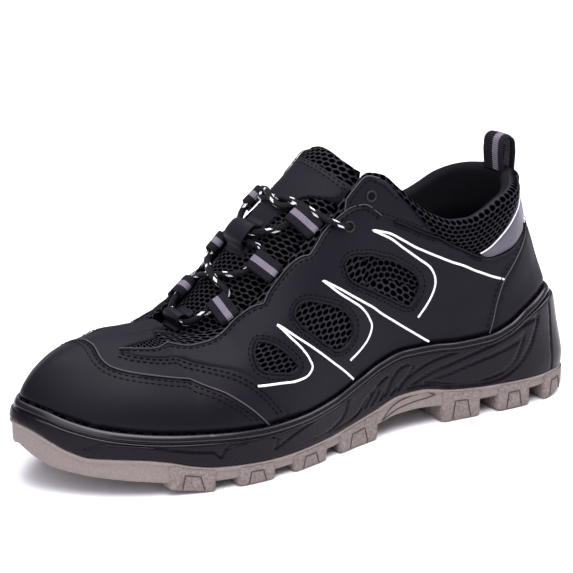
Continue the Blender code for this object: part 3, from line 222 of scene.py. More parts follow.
# The outsole's levels: its top edge, the tray inside that edge, the underside between the
# blocks, and the blocks' own underside. Shares of LENGTH, and of SPLIT_HEIGHT for the rest
TREAD = (  # along, split, tray, plate, floor
    (0.000, 1.00, 0.82, 0.66, 0.30),
    (0.027, 0.98, 0.80, 0.62, 0.18),
    (0.060, 0.96, 0.78, 0.58, 0.03),
    (0.090, 0.96, 0.77, 0.56, 0.00),
    (0.200, 1.00, 0.80, 0.56, 0.00),
    (0.263, 1.10, 0.86, 0.56, 0.00),
    (0.330, 1.32, 1.00, 0.66, 0.00),
    (0.367, 1.30, 1.00, 0.64, 0.00),
    (0.420, 1.03, 0.78, 0.46, 0.00),
    (0.467, 0.86, 0.64, 0.38, 0.00),
    (0.527, 0.72, 0.52, 0.32, 0.00),
    (0.627, 0.66, 0.48, 0.28, 0.00),
    (0.740, 0.77, 0.52, 0.30, 0.00),
    (0.777, 0.90, 0.58, 0.34, 0.08),
    (0.817, 1.12, 0.66, 0.42, 0.21),
    (0.850, 1.23, 0.72, 0.50, 0.32),
    (0.890, 1.28, 0.82, 0.60, 0.46),
    (0.920, 1.30, 0.90, 0.68, 0.60),
    (0.947, 1.50, 1.02, 0.80, 0.80),
    (0.967, 1.77, 1.12, 0.92, 0.92),
    (0.987, 2.07, 1.36, 1.20, 1.20),
    (1.000, 2.20, 1.62, 1.50, 1.50),
)

# Tread blocks along each edge. Shares of LENGTH
EDGE_LUGS = (  # rear, front
    (0.018, 0.080),
    (0.112, 0.178),
    (0.212, 0.286),
    (0.415, 0.503),
    (0.532, 0.604),
    (0.640, 0.706),
    (0.742, 0.815),
)
LUG_REACH = 0.024  # how far an edge lug runs in under the foot
LUG_PROUD = 0.0009  # how far it stands out of the plate's side

# Blocks in the middle of the tread. Shares of LENGTH, with the half width in metres
MIDDLE_LUGS = (  # rear, front, half_width
    (0.050, 0.100, 0.0085),
    (0.118, 0.182, 0.0095),
    (0.202, 0.252, 0.0085),
    (0.470, 0.535, 0.0120),
    (0.565, 0.630, 0.0140),
    (0.655, 0.722, 0.0140),
    (0.745, 0.795, 0.0120),
)


def smooth(rows, column):
    """A function that runs through a table's column without overshooting."""
    table = np.array(rows, float)
    x, y = table[:, 0], table[:, column]
    gaps, rises = np.diff(x), np.diff(y) / np.diff(x)
    slopes = np.zeros(len(x))
    slopes[0], slopes[-1] = rises[0], rises[-1]
    before, after = rises[:-1], rises[1:]
    weight_a, weight_b = 2 * gaps[1:] + gaps[:-1], gaps[1:] + 2 * gaps[:-1]
    same_way = before * after > 0
    safe_before, safe_after = np.where(same_way, before, 1), np.where(same_way, after, 1)
    mean = (weight_a + weight_b) / (weight_a / safe_before + weight_b / safe_after)
    slopes[1:-1] = np.where(same_way, mean, 0)

    def value(at):
        at = np.clip(at, x[0], x[-1])
        i = np.clip(np.searchsorted(x, at) - 1, 0, len(gaps) - 1)
        t, gap = (at - x[i]) / gaps[i], gaps[i]
        return (
            y[i] * (1 + 2 * t) * (1 - t) ** 2
            + gap * slopes[i] * t * (1 - t) ** 2
            + y[i + 1] * t * t * (3 - 2 * t)
            + gap * slopes[i + 1] * t * t * (t - 1)
        )

    return value


def closed_curve(points, count):
    """count points on a smooth closed curve through the given ones."""
    p = np.array(points, float)
    n = len(p)
    step = np.linalg.norm(np.roll(p, -1, 0) - p, axis=1)
    knots = np.concatenate([[0], np.cumsum(step)])
    system, right = np.zeros((n, n)), np.zeros_like(p)
    for i in range(n):
        back, ahead = step[i - 1], step[i]
        system[i, i - 1] += back
        system[i, i] += 2 * (back + ahead)
        system[i, (i + 1) % n] += ahead
        right[i] = 6 * ((p[(i + 1) % n] - p[i]) / ahead - (p[i] - p[i - 1]) / back)
    bend = np.linalg.solve(system, right)
    at = np.linspace(0, knots[-1], count, endpoint=False)
    i = np.searchsorted(knots, at, side="right") - 1
    j, h = (i + 1) % n, step[i][:, None]
    a, b = (knots[i + 1] - at)[:, None] / h, (at - knots[i])[:, None] / h
    return a * p[i] + b * p[j] + ((a**3 - a) * bend[i] + (b**3 - b) * bend[j]) * h**2 / 6


def outline_sides():
    """The sole's outline as two arrays from heel back to toe tip: outer side, inner side."""
    loop = closed_curve([(a * LENGTH, b * BALL_WIDTH) for a, b in OUTLINE], 4000)
    heel, toe = np.argmin(loop[:, 0]), np.argmax(loop[:, 0])
    loop = np.roll(loop, -heel, 0)
    toe = (toe - heel) % len(loop)
    outer = loop[: toe + 1]
    inner = np.concatenate([loop[toe:], loop[:1]])[::-1]
    low, high = outer[0, 0], outer[-1, 0]
    for side in (outer, inner):
        side[:, 0] = (side[:, 0] - low) * LENGTH / (high - low)
    return outer, inner


def stations(count):
    """Places along the shoe, evenly spaced round the outline, which both sides share."""
    travel = 0
    x = np.linspace(0, 1, 4001)
    x = LENGTH * (1 - np.cos(math.pi * x)) / 2
    for side in outline_sides():
        y = np.interp(x, side[:, 0], side[:, 1])
        steps = np.hypot(np.diff(x), np.diff(y))
        travel = travel + np.concatenate([[0], np.cumsum(steps)])
    return np.interp(np.linspace(0, travel[-1], count + 1), travel, x)


def outline_loop(count):
    """The outline as a closed loop: heel back, outer side, toe tip, inner side."""
    x = stations(count)
    outer, inner = outline_sides()
    there = np.stack([x, np.interp(x, outer[:, 0], outer[:, 1])], 1)
    back = np.stack([x, np.interp(x, inner[:, 0], inner[:, 1])], 1)
    return np.concatenate([there, back[-2:0:-1]])


def moved_in(loop, distance):
    """The loop moved in by a distance, along its own normals."""
    along = np.roll(loop, -1, 0) - np.roll(loop, 1, 0)
    along /= np.linalg.norm(along, axis=1)[:, None]
    normal = np.stack([-along[:, 1], along[:, 0]], 1)
    return loop - normal * np.reshape(distance, (-1, 1))


def share_along(loop):
    """How far along the shoe each point of a loop is, as a share of LENGTH."""
    return loop[:, 0] / LENGTH


def on_outer_side(loop):
    """1 on the outer side and 0 on the inner side, for each rib of a loop."""
    half = len(loop) // 2
    return (np.arange(len(loop)) <= half).astype(float)


def spine(loop):
    """For each rib, the point on the ridge line that it runs towards, seen from above."""
    x = np.clip(loop[:, 0], HEEL_CENTRE * LENGTH, TOE_CENTRE * LENGTH)
    return np.stack([x, smooth(RIDGE, 1)(x / LENGTH) * BALL_WIDTH], 1)


def rib_handles(loop):
    """Foot, two handles and edge of each rib, as radius from the spine and height."""
    foot = moved_in(loop, FEATHER_INSET)
    centre = spine(loop)
    radius = np.linalg.norm(foot - centre, axis=1)
    at = share_along(loop)
    outer = on_outer_side(loop)
    edge = outer * smooth(RIBS, 1)(at) + (1 - outer) * smooth(RIBS, 2)(at)
    edge_r = np.maximum(edge, 0) * BALL_WIDTH
    edge_z = smooth(RIBS, 3)(at) * BACK_HEIGHT
    foot_z = smooth(LEVELS, 1)(at) * BACK_HEIGHT + GAP
    rise = edge_z - foot_z
    wall_r = radius * (1 + smooth(RIBS, 4)(at))
    wall_z = foot_z + rise * smooth(RIBS, 5)(at)
    shoulder_r = edge_r + radius * smooth(RIBS, 6)(at)
    shoulder_z = edge_z - rise * smooth(RIBS, 7)(at)
    return foot, centre, (
        np.stack([radius, foot_z], 1),
        np.stack([wall_r, wall_z], 1),
        np.stack([shoulder_r, shoulder_z], 1),
        np.stack([edge_r, edge_z], 1),
    )


def upper_grid(loop, heights):
    """The upper's outer surface as points[rib, row]. heights are shares of each rib's length."""
    foot, centre, (a, b, c, d) = rib_handles(loop)
    away = foot - centre
    away /= np.linalg.norm(away, axis=1)[:, None]
    t = np.linspace(0, 1, 200)[:, None, None]
    path = a * (1 - t) ** 3 + 3 * b * t * (1 - t) ** 2 + 3 * c * t * t * (1 - t) + d * t**3
    steps = np.linalg.norm(np.diff(path, axis=0), axis=2)
    travel = np.concatenate([np.zeros((1, len(loop))), np.cumsum(steps, 0)])
    grid = np.empty((len(loop), len(heights), 3))
    for i in range(len(loop)):
        reach = np.asarray(heights) * travel[-1, i]
        r = np.interp(reach, travel[:, i], path[:, i, 0])
        z = np.interp(reach, travel[:, i], path[:, i, 1])
        grid[i, :, :2] = centre[i] + away[i] * r[:, None]
        grid[i, :, 2] = z
    return grid


def upper_at_height(loop, z, clearance):
    """The loop where the upper's outside passes a height, moved out by a clearance."""
    rows = np.linspace(0, 1, 120)
    grid = upper_grid(loop, rows)
    centre = spine(loop)
    found = np.empty((len(loop), 3))
    for i, level in enumerate(z):
        row = np.interp(level, grid[i, :60, 2], np.arange(60))
        low = min(int(row), 58)
        point = grid[i, low] + (grid[i, low + 1] - grid[i, low]) * (row - low)
        out = point[:2] - centre[i]
        point[:2] += out / np.linalg.norm(out) * clearance
        found[i] = point
    return found


def pad_thickness(loop, heights):
    """The upper's wall at each rib and row: thin below, padded round the collar."""
    at = share_along(loop)[:, None]
    up = np.clip((np.asarray(heights)[None, :] - 0.50) / 0.28, 0, 1)
    rear = np.clip((0.385 - at) / 0.09, 0, 1)
    ease = up * up * (3 - 2 * up) * rear * rear * (3 - 2 * rear)
    return UPPER_WALL + (COLLAR_PAD - UPPER_WALL) * ease


def ring_points(loop, height):
    """A flat loop's points in space, at one height or at one for each."""
    return np.column_stack([loop, np.broadcast_to(height, len(loop))])


def level(rows, column, loop, size):
    """A column of a table along a loop, as metres."""
    return smooth(rows, column)(share_along(loop)) * size


# Looks


def maths(tree, operation, *values):
    made = tree.nodes.new("ShaderNodeMath")
    made.operation = operation
    for number, value in enumerate(values):
        if isinstance(value, bpy.types.NodeSocket):
            tree.links.new(value, made.inputs[number])
        else:
            made.inputs[number].default_value = value
    return made.outputs[0]


def new_material(name, colour, roughness, metallic=0.0, specular=0.12):
    made = bpy.data.materials.new(name)
    made.use_nodes = True
    tree = made.node_tree
    shader = tree.nodes["Principled BSDF"]
    shader.inputs["Base Color"].default_value = (*colour, 1)
    shader.inputs["Roughness"].default_value = roughness
    shader.inputs["Metallic"].default_value = metallic
    shader.inputs["Specular IOR Level"].default_value = specular
    return made, tree, shader


def object_place(tree):
    return tree.nodes.new("ShaderNodeTexCoord").outputs["Object"]


def uv_place(tree):
    """The piece's own u and v."""
    uv = tree.nodes.new("ShaderNodeUVMap")
    uv.uv_map = "UVMap"
    split = tree.nodes.new("ShaderNodeSeparateXYZ")
    tree.links.new(uv.outputs[0], split.inputs[0])
    return split.outputs[0], split.outputs[1]


def noise(tree, scale, detail=2.0):
    made = tree.nodes.new("ShaderNodeTexNoise")
    made.inputs["Scale"].default_value = scale
    made.inputs["Detail"].default_value = detail
    tree.links.new(object_place(tree), made.inputs["Vector"])
    return made.outputs["Fac"]


def cells(tree, scale):
    made = tree.nodes.new("ShaderNodeTexVoronoi")
    made.inputs["Scale"].default_value = scale
    tree.links.new(object_place(tree), made.inputs["Vector"])
    return made.outputs["Distance"]


def bump(tree, shader, height, distance, strength=1.0):
    made = tree.nodes.new("ShaderNodeBump")
    made.inputs["Distance"].default_value = distance
    made.inputs["Strength"].default_value = strength
    tree.links.new(height, made.inputs["Height"])
    tree.links.new(made.outputs[0], shader.inputs["Normal"])


def ramp(tree, value, low, high):
    """value from 0 to 1 as low to high."""
    return maths(tree, "ADD", maths(tree, "MULTIPLY", value, high - low), low)


def between(tree, value, dark, light):
    """A colour from dark for 0 to light for 1."""
    made = tree.nodes.new("ShaderNodeMix")
    made.data_type = "RGBA"
    tree.links.new(value, made.inputs[0])
    made.inputs[6].default_value = (*dark, 1)
    made.inputs[7].default_value = (*light, 1)
    return made.outputs[2]


def grained(name, dark, light, rough, grain, depth):
    """Split leather or a coated cloth: cloudy colour, fine grain in cells."""
    made, tree, shader = new_material(name, light, 0.6)
    cloud = noise(tree, 42.0, 3.0)
    tree.links.new(between(tree, cloud, dark, light), shader.inputs["Base Color"])
    fine = noise(tree, grain * 1.7, 3.0)
    tree.links.new(ramp(tree, fine, rough - 0.09, rough + 0.09), shader.inputs["Roughness"])
    pebble = maths(tree, "ADD", cells(tree, grain), maths(tree, "MULTIPLY", fine, 0.6))
    bump(tree, shader, pebble, depth, 0.6)
    return made


def holes_in(tree, u, v, pitch, size):
    """1 in the oval holes of a staggered net and 0 on its threads, with the wave between."""
    pitch_u, pitch_v = pitch
    row = maths(tree, "FLOOR", maths(tree, "DIVIDE", v, pitch_v))
    odd = maths(tree, "MULTIPLY", maths(tree, "PINGPONG", row, 1.0), 0.5)
    across = maths(tree, "FRACT", maths(tree, "ADD", maths(tree, "DIVIDE", u, pitch_u), odd))
    along = maths(tree, "FRACT", maths(tree, "DIVIDE", v, pitch_v))
    x = maths(tree, "DIVIDE", maths(tree, "SUBTRACT", across, 0.5), size)
    y = maths(tree, "DIVIDE", maths(tree, "SUBTRACT", along, 0.5), size)
    square = maths(tree, "ADD", maths(tree, "MULTIPLY", x, x), maths(tree, "MULTIPLY", y, y))
    made = tree.nodes.new("ShaderNodeMapRange")
    made.interpolation_type = "SMOOTHSTEP"
    made.inputs["From Min"].default_value = 0.45
    made.inputs["From Max"].default_value = 1.15
    made.inputs["To Min"].default_value = 1.0
    made.inputs["To Max"].default_value = 0.0
    tree.links.new(square, made.inputs["Value"])
    return made.outputs[0]


def netting(name, thread, hole_shade, pitch, turn=0.0):
    """Spacer mesh: oval holes in staggered rows, round threads between them. The holes get painted shade: a
    near-black colour and no specular reflection.
    """
    made, tree, shader = new_material(name, thread, 0.62)
    u, v = uv_place(tree)
    if turn:
        c, s = math.cos(turn), math.sin(turn)
        a = maths(tree, "ADD", maths(tree, "MULTIPLY", u, c), maths(tree, "MULTIPLY", v, s))
        b = maths(tree, "SUBTRACT", maths(tree, "MULTIPLY", v, c), maths(tree, "MULTIPLY", u, s))
        u, v = a, b
    mask = holes_in(tree, u, v, pitch, 0.47)
    # The holes' colour is painted shade: near black, with their specular reflection taken out below, where
    # their depth would lie in shade.
    tree.links.new(between(tree, mask, thread, hole_shade), shader.inputs["Base Color"])
    tree.links.new(ramp(tree, mask, 0.50, 0.95), shader.inputs["Roughness"])
    tree.links.new(ramp(tree, mask, 0.14, 0.0), shader.inputs["Specular IOR Level"])
    yarn = noise(tree, 2600.0, 2.0)
    height = maths(tree, "SUBTRACT", maths(tree, "MULTIPLY", yarn, 0.10), mask)
    bump(tree, shader, height, 0.0007, 1.0)
    return made


def woven(name, dark, light, pitch, depth, stripe, pale):
    """A ribbed weave in the piece's own u and v, with a paler stripe down the middle. The ribs' colour
    follows their relief: painted shade in the troughs, painted light on the crests.
    """
    made, tree, shader = new_material(name, light, 0.85)
    u, v = uv_place(tree)
    ribs = maths(tree, "SINE", maths(tree, "MULTIPLY", v, 2 * math.pi / pitch))
    thread = maths(tree, "SINE", maths(tree, "MULTIPLY", u, 60.0))
    ribs = maths(tree, "MULTIPLY", ribs, 0.7)
    weave = maths(tree, "ADD", ribs, maths(tree, "MULTIPLY", thread, 0.3))
    # Painted shade and light: the colour darkens into the ribs' troughs and lightens on their crests,
    # following the bump.
    shade = maths(tree, "ADD", maths(tree, "MULTIPLY", weave, 0.35), 0.5)
    colour = between(tree, shade, dark, light)
    near = maths(tree, "LESS_THAN", maths(tree, "ABSOLUTE", u), stripe)
    mix = tree.nodes.new("ShaderNodeMix")
    mix.data_type = "RGBA"
    tree.links.new(near, mix.inputs[0])
    tree.links.new(colour, mix.inputs[6])
    mix.inputs[7].default_value = (*pale, 1)
    tree.links.new(mix.outputs[2], shader.inputs["Base Color"])
    bump(tree, shader, weave, depth, 0.8)
    return made


def lace_material():
    """A woven bootlace with pairs of white flecks. u goes round it and v along it."""
    made, tree, shader = new_material("lace_weave", (0.02, 0.02, 0.024), 0.5, specular=0.14)
    u, v = uv_place(tree)
    wave = maths(tree, "MULTIPLY", v, 2 * math.pi / 0.0016)
    turn = maths(tree, "MULTIPLY", u, 12 * math.pi)
    braid = maths(tree, "MULTIPLY", maths(tree, "SINE", maths(tree, "ADD", wave, turn)),
                  maths(tree, "SINE", maths(tree, "SUBTRACT", wave, turn)))
    step = maths(tree, "DIVIDE", v, 0.0125)
    step = maths(tree, "FRACT", maths(tree, "ADD", step, maths(tree, "MULTIPLY", u, 1.0)))
    pair = maths(tree, "PINGPONG", maths(tree, "MULTIPLY", step, 2.6), 0.5)
    first = maths(tree, "LESS_THAN", step, 0.40)
    spot = maths(tree, "GREATER_THAN", pair, 0.20)
    lane = maths(tree, "FRACT", maths(tree, "MULTIPLY", u, 4.0))
    middle = maths(tree, "ABSOLUTE", maths(tree, "SUBTRACT", lane, 0.5))
    strip = maths(tree, "LESS_THAN", middle, 0.24)
    fleck = maths(tree, "MULTIPLY", maths(tree, "MULTIPLY", first, spot), strip)
    colour = between(tree, fleck, (0.0035, 0.0032, 0.0042), (0.82, 0.81, 0.84))
    tree.links.new(colour, shader.inputs["Base Color"])
    bump(tree, shader, braid, 0.00022, 0.9)
    return made


def rubber(name, dark, light, rough, cell, depth, specular=0.15):
    """Moulded rubber with a pebbled face."""
    made, tree, shader = new_material(name, light, rough, specular=specular)
    cloud = noise(tree, 60.0, 3.0)
    fine = noise(tree, cell, 2.0)
    speck = maths(tree, "MULTIPLY", maths(tree, "SUBTRACT", fine, 0.36), 2.6)
    speck = maths(tree, "MULTIPLY", speck, 0.65)
    shade = maths(tree, "ADD", speck, maths(tree, "MULTIPLY", cloud, 0.35))
    tree.links.new(between(tree, shade, dark, light), shader.inputs["Base Color"])
    tree.links.new(ramp(tree, fine, rough - 0.06, rough + 0.06), shader.inputs["Roughness"])
    bump(tree, shader, fine, depth, 1.0)
    return made


LEATHER = grained(
    "coated_leather", (0.0040, 0.0037, 0.0066), (0.0070, 0.0065, 0.0106), 0.55, 1100.0, 0.00008
)
CAP_LEATHER = grained(
    "cap_leather", (0.0026, 0.0024, 0.0046), (0.0046, 0.0043, 0.0074), 0.48, 1300.0, 0.00005
)
# The second colour of each net is painted shade for its holes.
MESH = netting("side_mesh", (0.0145, 0.0135, 0.0185), (0.0001, 0.0001, 0.0002), (0.0043, 0.0033), 0.45)
COLLAR_MESH = netting("collar_mesh", (0.0085, 0.0080, 0.0115), (0.0002, 0.0002, 0.0003), (0.0034, 0.0030))
TONGUE_MESH = netting(
    "tongue_mesh", (0.0120, 0.0110, 0.0145), (0.0002, 0.0002, 0.0003), (0.0036, 0.0024), 0.3
)
LINING = grained("lining_cloth", (0.003, 0.003, 0.0045), (0.006, 0.006, 0.008), 0.9, 1500.0, 0.0001)
REFLECTIVE_CLOTH = grained(
    "reflective_cloth", (0.085, 0.078, 0.096), (0.120, 0.110, 0.134), 0.42, 1800.0, 0.00004
)
WHITE = grained("white_piping", (0.80, 0.80, 0.82), (0.90, 0.90, 0.92), 0.42, 900.0, 0.00002)
EDGE = grained("cut_edge", (0.050, 0.044, 0.050), (0.100, 0.090, 0.096), 0.7, 1500.0, 0.00004)
THREAD = grained("thread", (0.0004, 0.0004, 0.0006), (0.0012, 0.0012, 0.0016), 0.9, 4000.0, 0.00004)
# Its dark colour is painted shade in the ribs' troughs and its light one painted light on their crests; the
# stripe is the webbing's own grey.
WEBBING = woven(
    "webbing", (0.0006, 0.0006, 0.0010), (0.020, 0.018, 0.024), 0.0011, 0.00030, 0.30, (0.185, 0.165, 0.205)
)
FOAM = rubber(
    "moulded_foam", (0.0030, 0.0018, 0.0042), (0.0056, 0.0037, 0.0074), 0.27, 1500.0, 0.00002, 0.13
)
POLISHED_FOAM = rubber(
    "polished_foam", (0.0030, 0.0018, 0.0042), (0.0048, 0.0032, 0.0064), 0.24, 1500.0, 0.00001, 0.42
)
TREAD_RUBBER = rubber("tread_rubber", (0.142, 0.118, 0.106), (0.290, 0.247, 0.222), 0.72, 760.0, 0.00060)
SMOOTH_RUBBER = rubber("smooth_rubber", (0.190, 0.161, 0.145), (0.258, 0.220, 0.198), 0.55, 900.0, 0.00010)
# Painted shade: dark rubber for tubes laid where engraved grooves would hold shade.
GROOVE_SHADE = rubber("painted_groove_shade", (0.050, 0.040, 0.040), (0.075, 0.062, 0.060), 0.8, 900.0, 0.00004)
LACE = lace_material()
# Painted shade: a near-black colour for discs put where the eyelets' holes would be dark.
EYELET_HOLE_SHADE = new_material("eyelet_shade_paint", (0.002, 0.002, 0.002), 0.9)[0]
METAL = new_material("eyelet_rim", (0.03, 0.03, 0.034), 0.35, metallic=0.6)[0]


# Mesh kit. Points are in outline axes, x = 0 at the heel's back, until they become an object


def make_mesh(name, points, faces, material, replaces=(), slot=None, uv=None):
    """An object that rides on the shoe."""
    mesh = bpy.data.meshes.new(name)
    shifted = np.array(points, float) - (HEEL_REST, 0, 0)
    mesh.from_pydata(shifted.tolist(), [], [list(map(int, f)) for f in faces])
    if uv is not None:
        layer = mesh.uv_layers.new(name="UVMap")
        corner = np.zeros(len(mesh.loops), int)
        mesh.loops.foreach_get("vertex_index", corner)
        layer.data.foreach_set("uv", np.asarray(uv, float)[corner].ravel())
    mesh.polygons.foreach_set("use_smooth", [True] * len(mesh.polygons))
    made = bpy.data.objects.new(name, mesh)
    bpy.context.scene.collection.objects.link(made)
    mesh.materials.append(material)
    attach(made, "root")
    if replaces:
        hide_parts(*replaces)
    return made


def outwards(made):
    """Turns the faces of a closed mesh outwards."""
    work = bmesh.new()
    work.from_mesh(made.data)
    bmesh.ops.recalc_face_normals(work, faces=work.faces)
    work.to_mesh(made.data)
    work.free()
    return made


def grid_faces(rows, columns, close_rows=False, close_columns=False):
    """Four-sided faces over a grid of points, joined at its ends where asked."""
    faces = []
    for r in range(rows if close_rows else rows - 1):
        for c in range(columns if close_columns else columns - 1):
            a, b = r * columns + c, r * columns + (c + 1) % columns
            d = (r + 1) % rows * columns
            faces.append([a, b, d + (c + 1) % columns, d + c])
    return faces


def smoothed(points, times, closed=False, corner=0.55):
    """A line through the points, rounded except at sharp corners, with times steps a span."""
    p = np.array(points, float)
    n = len(p)
    scale = np.array(FLAT_SIZE) if p.shape[1] == 2 else np.ones(3)
    q = p * scale
    spans = n if closed else n - 1
    made = []

    def slopes(i):
        back, ahead = q[(i - 1) % n], q[(i + 1) % n]
        if not closed and i == 0:
            return q[1] - q[0], q[1] - q[0]
        if not closed and i == n - 1:
            return q[-1] - q[-2], q[-1] - q[-2]
        a, b = q[i] - back, ahead - q[i]
        la, lb = np.linalg.norm(a) + 1e-12, np.linalg.norm(b) + 1e-12
        if np.dot(a / la, b / lb) < corner:
            return a / la, b / lb
        mean = a / la * lb + b / lb * la
        mean /= np.linalg.norm(mean) + 1e-12
        return mean, mean

    for i in range(spans):
        j = (i + 1) % n
        length = np.linalg.norm(q[j] - q[i])
        out = slopes(i)[1]
        into = slopes(j)[0]
        out = out / (np.linalg.norm(out) + 1e-12) * length
        into = into / (np.linalg.norm(into) + 1e-12) * length
        for t in np.linspace(0, 1, times, endpoint=False):
            made.append(
                q[i] * (1 + 2 * t) * (1 - t) ** 2
                + out * t * (1 - t) ** 2
                + q[j] * t * t * (3 - 2 * t)
                + into * t * t * (t - 1)
            )
    if not closed:
        made.append(q[-1])
    return np.array(made) / scale


def even(points, spacing, closed=False):
    """The line cut again at even steps. points may hold more columns than the three of place."""
    p = np.array(points, float)
    if closed:
        p = np.concatenate([p, p[:1]])
    steps = np.linalg.norm(np.diff(p[:, :3], axis=0), axis=1)
    travel = np.concatenate([[0], np.cumsum(steps)])
    count = max(int(round(travel[-1] / spacing)), 3)
    at = np.linspace(0, travel[-1], count + 1)
    found = np.stack([np.interp(at, travel, p[:, k]) for k in range(p.shape[1])], 1)
    return found[:-1] if closed else found


# The upper's surface, on a fine grid of ribs and rows

HIGH = 0.955  # share of a rib's length where the edge starts to turn in
TURN_ANGLES = np.radians(np.arange(15, 91, 15))
ROWS = np.concatenate([np.linspace(0, HIGH, SIDE_ROWS), HIGH + 0.045 * np.sin(TURN_ANGLES)])
EDGE_TURN = np.concatenate([np.zeros(SIDE_ROWS), 1 - np.cos(TURN_ANGLES)])

# Panels. round goes from the heel's back, 0, to the toe tip, 1, and on round the other side.
# up is 0 at the sole's rim and 1 at the upper's edge or ridge
COLLAR_SEAM = (  # round, up
    (0.000, 0.922),
    (0.070, 0.918),
    (0.130, 0.906),
    (0.162, 0.885),
    (0.188, 0.836),
    (0.210, 0.778),
    (0.232, 0.742),
    (0.249, 0.690),
    (0.266, 0.752),
    (0.298, 0.848),
    (0.324, 0.895),
    (0.342, 0.950),
    (0.358, 0.985),
    (0.384, 1.000),
    (1.000, 1.000),
)


def make_surface():
    """The upper's outline, its points, their normals, and the ribs that end on the ridge."""
    loop = outline_loop(SIDE_STATIONS)
    grid = upper_grid(loop, ROWS)
    n = len(loop)
    du = np.roll(grid, -1, 0) - np.roll(grid, 1, 0)
    dv = np.gradient(grid, axis=1)
    normals = np.cross(du, dv)
    size = np.linalg.norm(normals, axis=2)
    flat = size < 1e-10
    normals /= np.maximum(size, 1e-12)[..., None]
    out = grid[:, 10, :2] - spine(loop)
    if (normals[:, 10, :2] * out).sum() < 0:
        normals = -normals
    for k in range(1, grid.shape[1]):
        normals[flat[:, k], k] = normals[flat[:, k], k - 1]
    closed = rib_handles(loop)[2][3][:, 0] < 1e-6
    mirror = (n - np.arange(n)) % n
    soft = normals.copy()
    for k in range(grid.shape[1] - 5, grid.shape[1]):
        share = (k - (grid.shape[1] - 6)) / 5
        both = normals[:, k] + normals[mirror, k]
        both /= np.maximum(np.linalg.norm(both, axis=1), 1e-9)[:, None]
        mixed = normals[:, k] * (1 - share) + both * share
        mixed /= np.linalg.norm(mixed, axis=1)[:, None]
        soft[closed, k] = mixed[closed]
    return loop, grid, soft, closed


LOOP, GRID, NORMALS, CLOSED = make_surface()
N_RIBS, N_ROWS = GRID.shape[:2]
RIM = level(LEVELS, 2, LOOP, BACK_HEIGHT) + 0.0002
LOW = np.array([np.interp(z, line[:40, 2], ROWS[:40]) for z, line in zip(RIM, GRID)])


COLLAR_SWELL = 0.0017  # metres that the collar's padding stands out
CREASE = 0.00022  # metres of the flex creases and of the slow waves in the cloth


def swell():
    """How far the surface stands proud of the solid's, for each rib and row."""
    ribs = np.arange(N_RIBS) / SIDE_STATIONS
    round_ = np.where(ribs <= 1, ribs, 2 - ribs)
    seam_up = np.interp(round_, *np.array(COLLAR_SEAM).T)
    seam = LOW + (HIGH - LOW) * seam_up
    t = np.clip((ROWS[None, :] - seam[:, None]) / np.maximum(1.0 - seam[:, None], 0.02), 0, 1)
    pad = np.where(seam_up[:, None] < 0.995, np.sin(np.pi * t) ** 0.7, 0) * COLLAR_SWELL
    at = LOOP[:, 0] / LENGTH
    rise = (ROWS[None, :] - LOW[:, None]) / (HIGH - LOW[:, None])
    flex = np.exp(-(((at[:, None] - 0.70) / 0.06) ** 2)) * np.clip(rise * 1.6 - 0.5, 0, 1)
    waves = np.sin(at[:, None] * 210 + rise * 2.2) * CREASE
    drift = (
        np.sin(at[:, None] * 31 + rise * 7) * np.sin(at[:, None] * 17 - rise * 11 + 1.3)
    ) * CREASE * np.clip(rise * 3, 0, 1)
    return pad + waves * flex + drift


SWELL = swell()
SURFACE = GRID + NORMALS * SWELL[..., None]
WALL = pad_thickness(LOOP, ROWS)


def place(round_, up, lift=0.0):
    """Points on the upper's outside and their normals. round and up as in the tables."""
    round_, up = np.broadcast_arrays(np.asarray(round_, float), np.asarray(up, float))
    u = (round_ * SIDE_STATIONS) % N_RIBS
    i = np.floor(u).astype(int) % N_RIBS
    a = u - np.floor(u)
    j = (i + 1) % N_RIBS
    low = LOW[i] * (1 - a) + LOW[j] * a
    share = low + (HIGH - low) * up
    v = np.interp(share, ROWS, np.arange(N_ROWS))
    k = np.clip(np.floor(v).astype(int), 0, N_ROWS - 2)
    b = v - k
    found = []
    for grid in (SURFACE, NORMALS):
        value = (
            grid[i, k] * ((1 - a) * (1 - b))[..., None]
            + grid[j, k] * (a * (1 - b))[..., None]
            + grid[i, k + 1] * ((1 - a) * b)[..., None]
            + grid[j, k + 1] * (a * b)[..., None]
        )
        found.append(value)
    normal = found[1] / np.linalg.norm(found[1], axis=-1, keepdims=True)
    return found[0] + normal * np.asarray(lift)[..., None], normal


def metric(line):
    """Round and up as lengths on the upper."""
    return np.asarray(line, float) * FLAT_SIZE


def area_of(line):
    """The area within a closed line, positive when it runs anticlockwise."""
    x, y = metric(line).T
    return 0.5 * float(np.sum(x * np.roll(y, -1) - np.roll(x, -1) * y))


def shifted_line(line, distance, closed=True, side=1):
    """The line moved over the surface: to its left for side 1. Drops points that come too near."""
    line = np.asarray(line, float)
    here, normal = place(line[:, 0], line[:, 1])
    if closed:
        ahead = np.roll(here, -1, 0) - np.roll(here, 1, 0)
    else:
        ahead = np.gradient(here, axis=0)
    ahead /= np.maximum(np.linalg.norm(ahead, axis=1), 1e-12)[:, None]
    across = np.cross(normal, ahead) * side
    e = 0.0015
    round_, up = line.T
    d_round = (place(round_ + e, up)[0] - place(round_ - e, up)[0]) / (2 * e)
    d_up = (place(round_, up + e)[0] - place(round_, up - e)[0]) / (2 * e)
    a, b, c = (d_round**2).sum(1), (d_round * d_up).sum(1), (d_up**2).sum(1)
    p, q = (d_round * across).sum(1) * distance, (d_up * across).sum(1) * distance
    det = np.maximum(a * c - b * b, 1e-12)
    moved = line + np.stack([(c * p - b * q) / det, (a * q - b * p) / det], 1)
    there = place(moved[:, 0], moved[:, 1])[0]
    gap = np.linalg.norm(there[:, None] - here[None], axis=2).min(1)
    return moved[gap > abs(distance) * 0.9]


